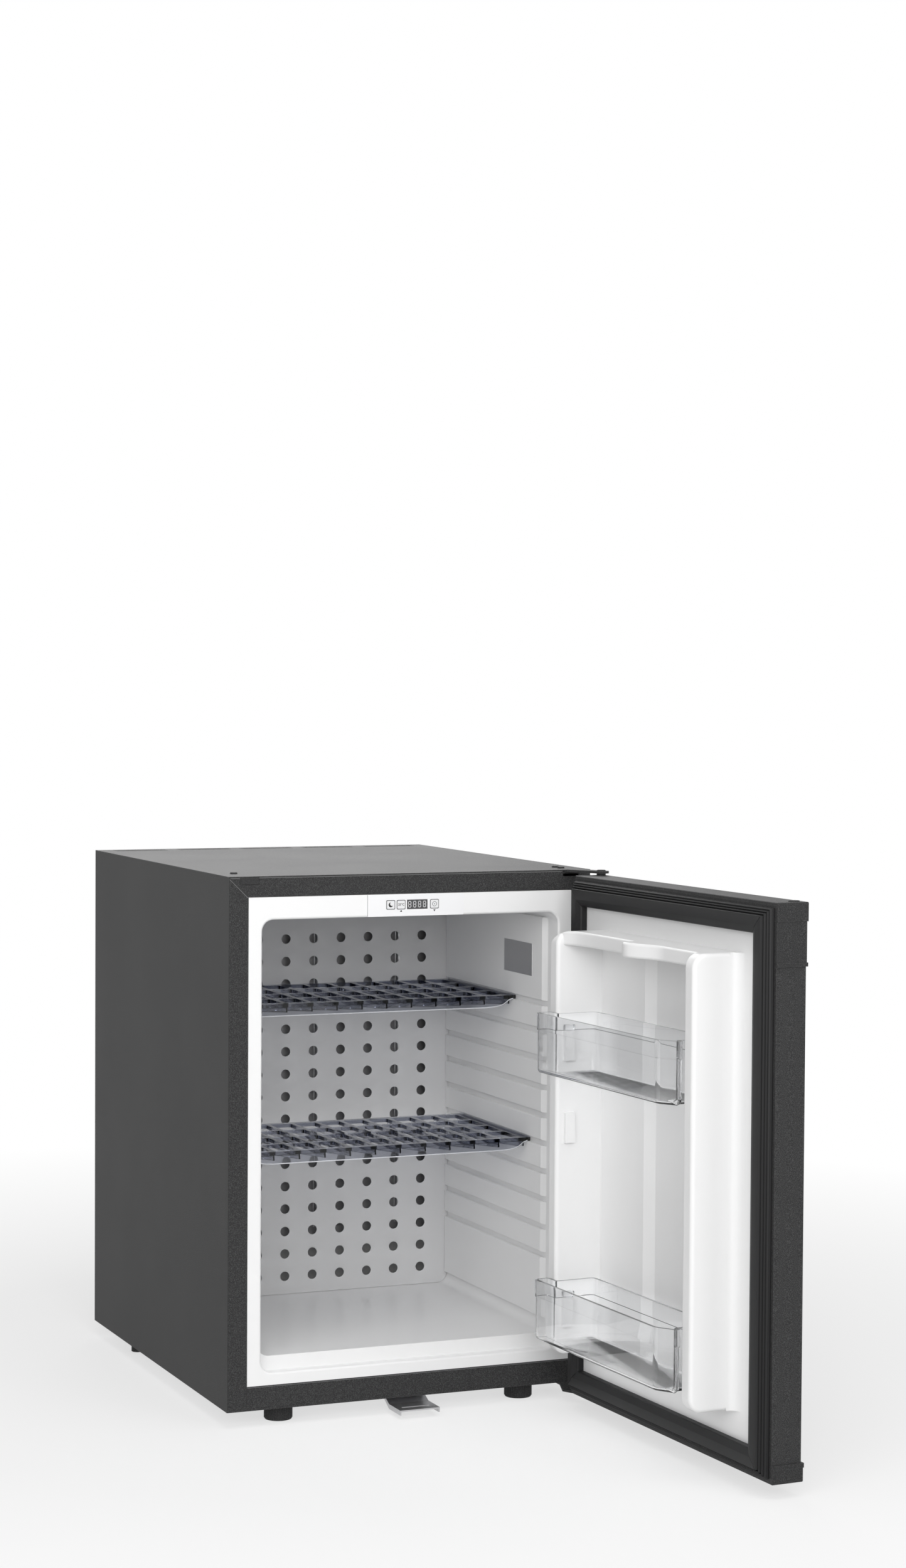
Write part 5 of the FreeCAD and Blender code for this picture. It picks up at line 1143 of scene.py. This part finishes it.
@dataclass
class HingePocket:
    """Dark lining of the pocket behind the top hinge slot, a wall at its side and its back."""

    low: Point = (167.0, -237.4, 531.6)
    high: Point = (192.45, -191.0, 537.4)
    wall: float = 0.4

    def build(self) -> None:
        """Keeps two sides of a box and gives them a wall."""
        low, high = Vector(self.low), Vector(self.high)
        work = Workpiece("hinge_pocket_lining", Start.CUBE, size=1.0, location=(low + high) / 2,
                         scale=tuple(high - low))
        with work.editing():
            work.pick_faces(lambda p, n: n.x < 0.5 and n.y < 0.5)
            ops.mesh.delete(type="FACE")
        work.modify("SOLIDIFY", thickness=self.wall, offset=-1.0)
        work.finish("cabinet", "dark_plastic")


@dataclass
class ControlMarks:
    """Key surrounds, arrows, key signs and display digits on the control strip."""

    strip_face: float = -238.45
    key_face: float = -238.75
    level: float = 509.6
    keys: Point = (-25.5, -14.0, 22.9)
    ring: Pair = (4.85, 0.7)
    ring_corner: float = 1.3
    figure: str = "25\u00b0C"
    figure_size: float = 3.3
    sign: float = 2.5
    sign_sides: int = 28
    bite: Pair = (2.1, 2.0)
    bite_place: Point = (1.3, 0.95, 0.0)
    dial_wall: float = 0.4
    dot: float = 0.5
    dot_sides: int = 12
    arrows: tuple[Point, ...] = ((-14.0, 502.9, 0.0), (22.9, 503.1, math.pi))
    arrow: float = 1.4
    depth: float = 0.09
    digits: tuple[float, ...] = (-4.5, 0.95, 6.4, 11.85)
    digit_level: float = 509.7
    digit: Pair = (1.35, 2.95)
    bar: Pair = (0.62, 0.14)
    bar_point: float = 0.45

    def surround(self) -> Workpiece:
        """Models one rounded square ring about the origin."""
        half, wall = self.ring
        work = Workpiece("key_surrounds", Start.PLANE, size=2 * half)
        with work.editing():
            work.pick_all()
            work.round_points(self.ring_corner, 4)
            ops.mesh.inset(thickness=wall)
            ops.mesh.delete(type="FACE")
        work.thicken(2 * self.depth)
        return work

    def pointer(self, x: float, z: float, turn: float) -> Workpiece:
        """Models one small arrow at its place."""
        work = Workpiece.disc("key_arrow", 3, self.arrow, rotation=(0.0, 0.0, turn),
                              location=(x, z, 0.0))
        with work.editing():
            work.pick_all()
            work.round_points(self.arrow / 6, 2)
        work.thicken(self.depth)
        return work

    def crescent(self) -> Workpiece:
        """Models the first key's sign, a moon."""
        work = Workpiece.disc("key_sign_1", self.sign_sides, self.sign)
        work.thicken(self.depth)
        bite = Workpiece("bite", Start.CYLINDER, vertices=self.sign_sides, radius=self.bite[0],
                         depth=self.bite[1], location=self.bite_place)
        bite.close_up()
        work.cross(bite, "DIFFERENCE")
        return work

    def dial(self) -> Workpiece:
        """Models the third key's sign, a ring round a dot."""
        work = Workpiece.disc("key_sign_3", self.sign_sides, self.sign)
        with work.editing():
            work.pick_all()
            ops.mesh.inset(thickness=self.dial_wall)
            ops.mesh.delete(type="FACE")
        work.thicken(self.depth)
        dot = Workpiece.disc("dot", self.dot_sides, self.dot)
        dot.thicken(self.depth)
        work.take(dot)
        return work

    def build_digits(self) -> None:
        """Models one pointed bar and copies it seven times for each digit."""
        wide, tall = self.digit
        width, gap = self.bar
        spare = Workpiece.tag("bar", (2 * wide - gap, width), width * self.bar_point, 1, self.depth)
        bars = []
        for x in self.digits:
            places = [(x, k * tall, 0.0) for k in (-1, 0, 1)]
            places += [(x + a * wide, k * tall / 2, math.pi / 2) for a in (-1, 1) for k in (-1, 1)]
            for across, rise, turn in places:
                bar = spare.twin("bar")
                bar.move((across, self.digit_level + rise, 0.0), turn)
                bars.append(bar)
        bpy.data.objects.remove(spare.item)
        work = Workpiece.merged("display_digits", bars)
        work.face_front(self.strip_face)
        work.finish("cabinet", "key_white")

    def build(self) -> None:
        """Places every mark on the strip, the keys and the window."""
        ring = self.surround()
        others = [ring.twin("ring", (x, self.level, 0.0)) for x in self.keys[1:]]
        ring.move((self.keys[0], self.level, 0.0))
        ring.take(*others, *(self.pointer(*place) for place in self.arrows))
        ring.face_front(self.strip_face)
        ring.finish("cabinet", "black_rubber")
        figure = Workpiece.letters("key_sign_2", self.figure, self.figure_size, self.depth)
        for number, sign in enumerate((self.crescent(), figure, self.dial())):
            sign.move((self.keys[number], self.level, 0.0))
            sign.face_front(self.key_face)
            sign.finish(f"button_{number + 1}", "black_rubber")
        self.build_digits()


# Object

@dataclass
class CarriedNodes:
    """The CAD nodes that keep their own shape and get a finish."""

    frame: dict

    def dress(self) -> None:
        """Gives each node the finish of its material slot."""
        slots = {row["node"]: row["material_slot"] for row in self.frame["record"]["subparts"]}
        for name, node in self.frame["nodes"].items():
            finish = FINISHES[slots[name]].material()
            for place in node.material_slots:
                place.material = finish


def main() -> None:
    """Builds the studio and the refrigerator's looks, and reports each piece."""
    logging.basicConfig(level=logging.INFO, format="%(name)s: %(message)s")
    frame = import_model()
    ops.object.select_all(action="DESELECT")
    Studio().build()
    CarriedNodes(frame).dress()
    lower_shelf = ClearShelf(name="shelf_lower_clear", node="shelf_lower", front=-172.25, top=251.1)
    lower_basket = DoorBasket(name="basket_lower_clear", node="basket_lower", low=70.0)
    for part in (DoorGasket(), DoorBasket(), lower_basket, RearCover(), ClearShelf(), lower_shelf,
                 ControlMarks(), FrameSeams(), HingePins(), HingePocket()):
        part.build()


if __name__ == "__main__":
    main()
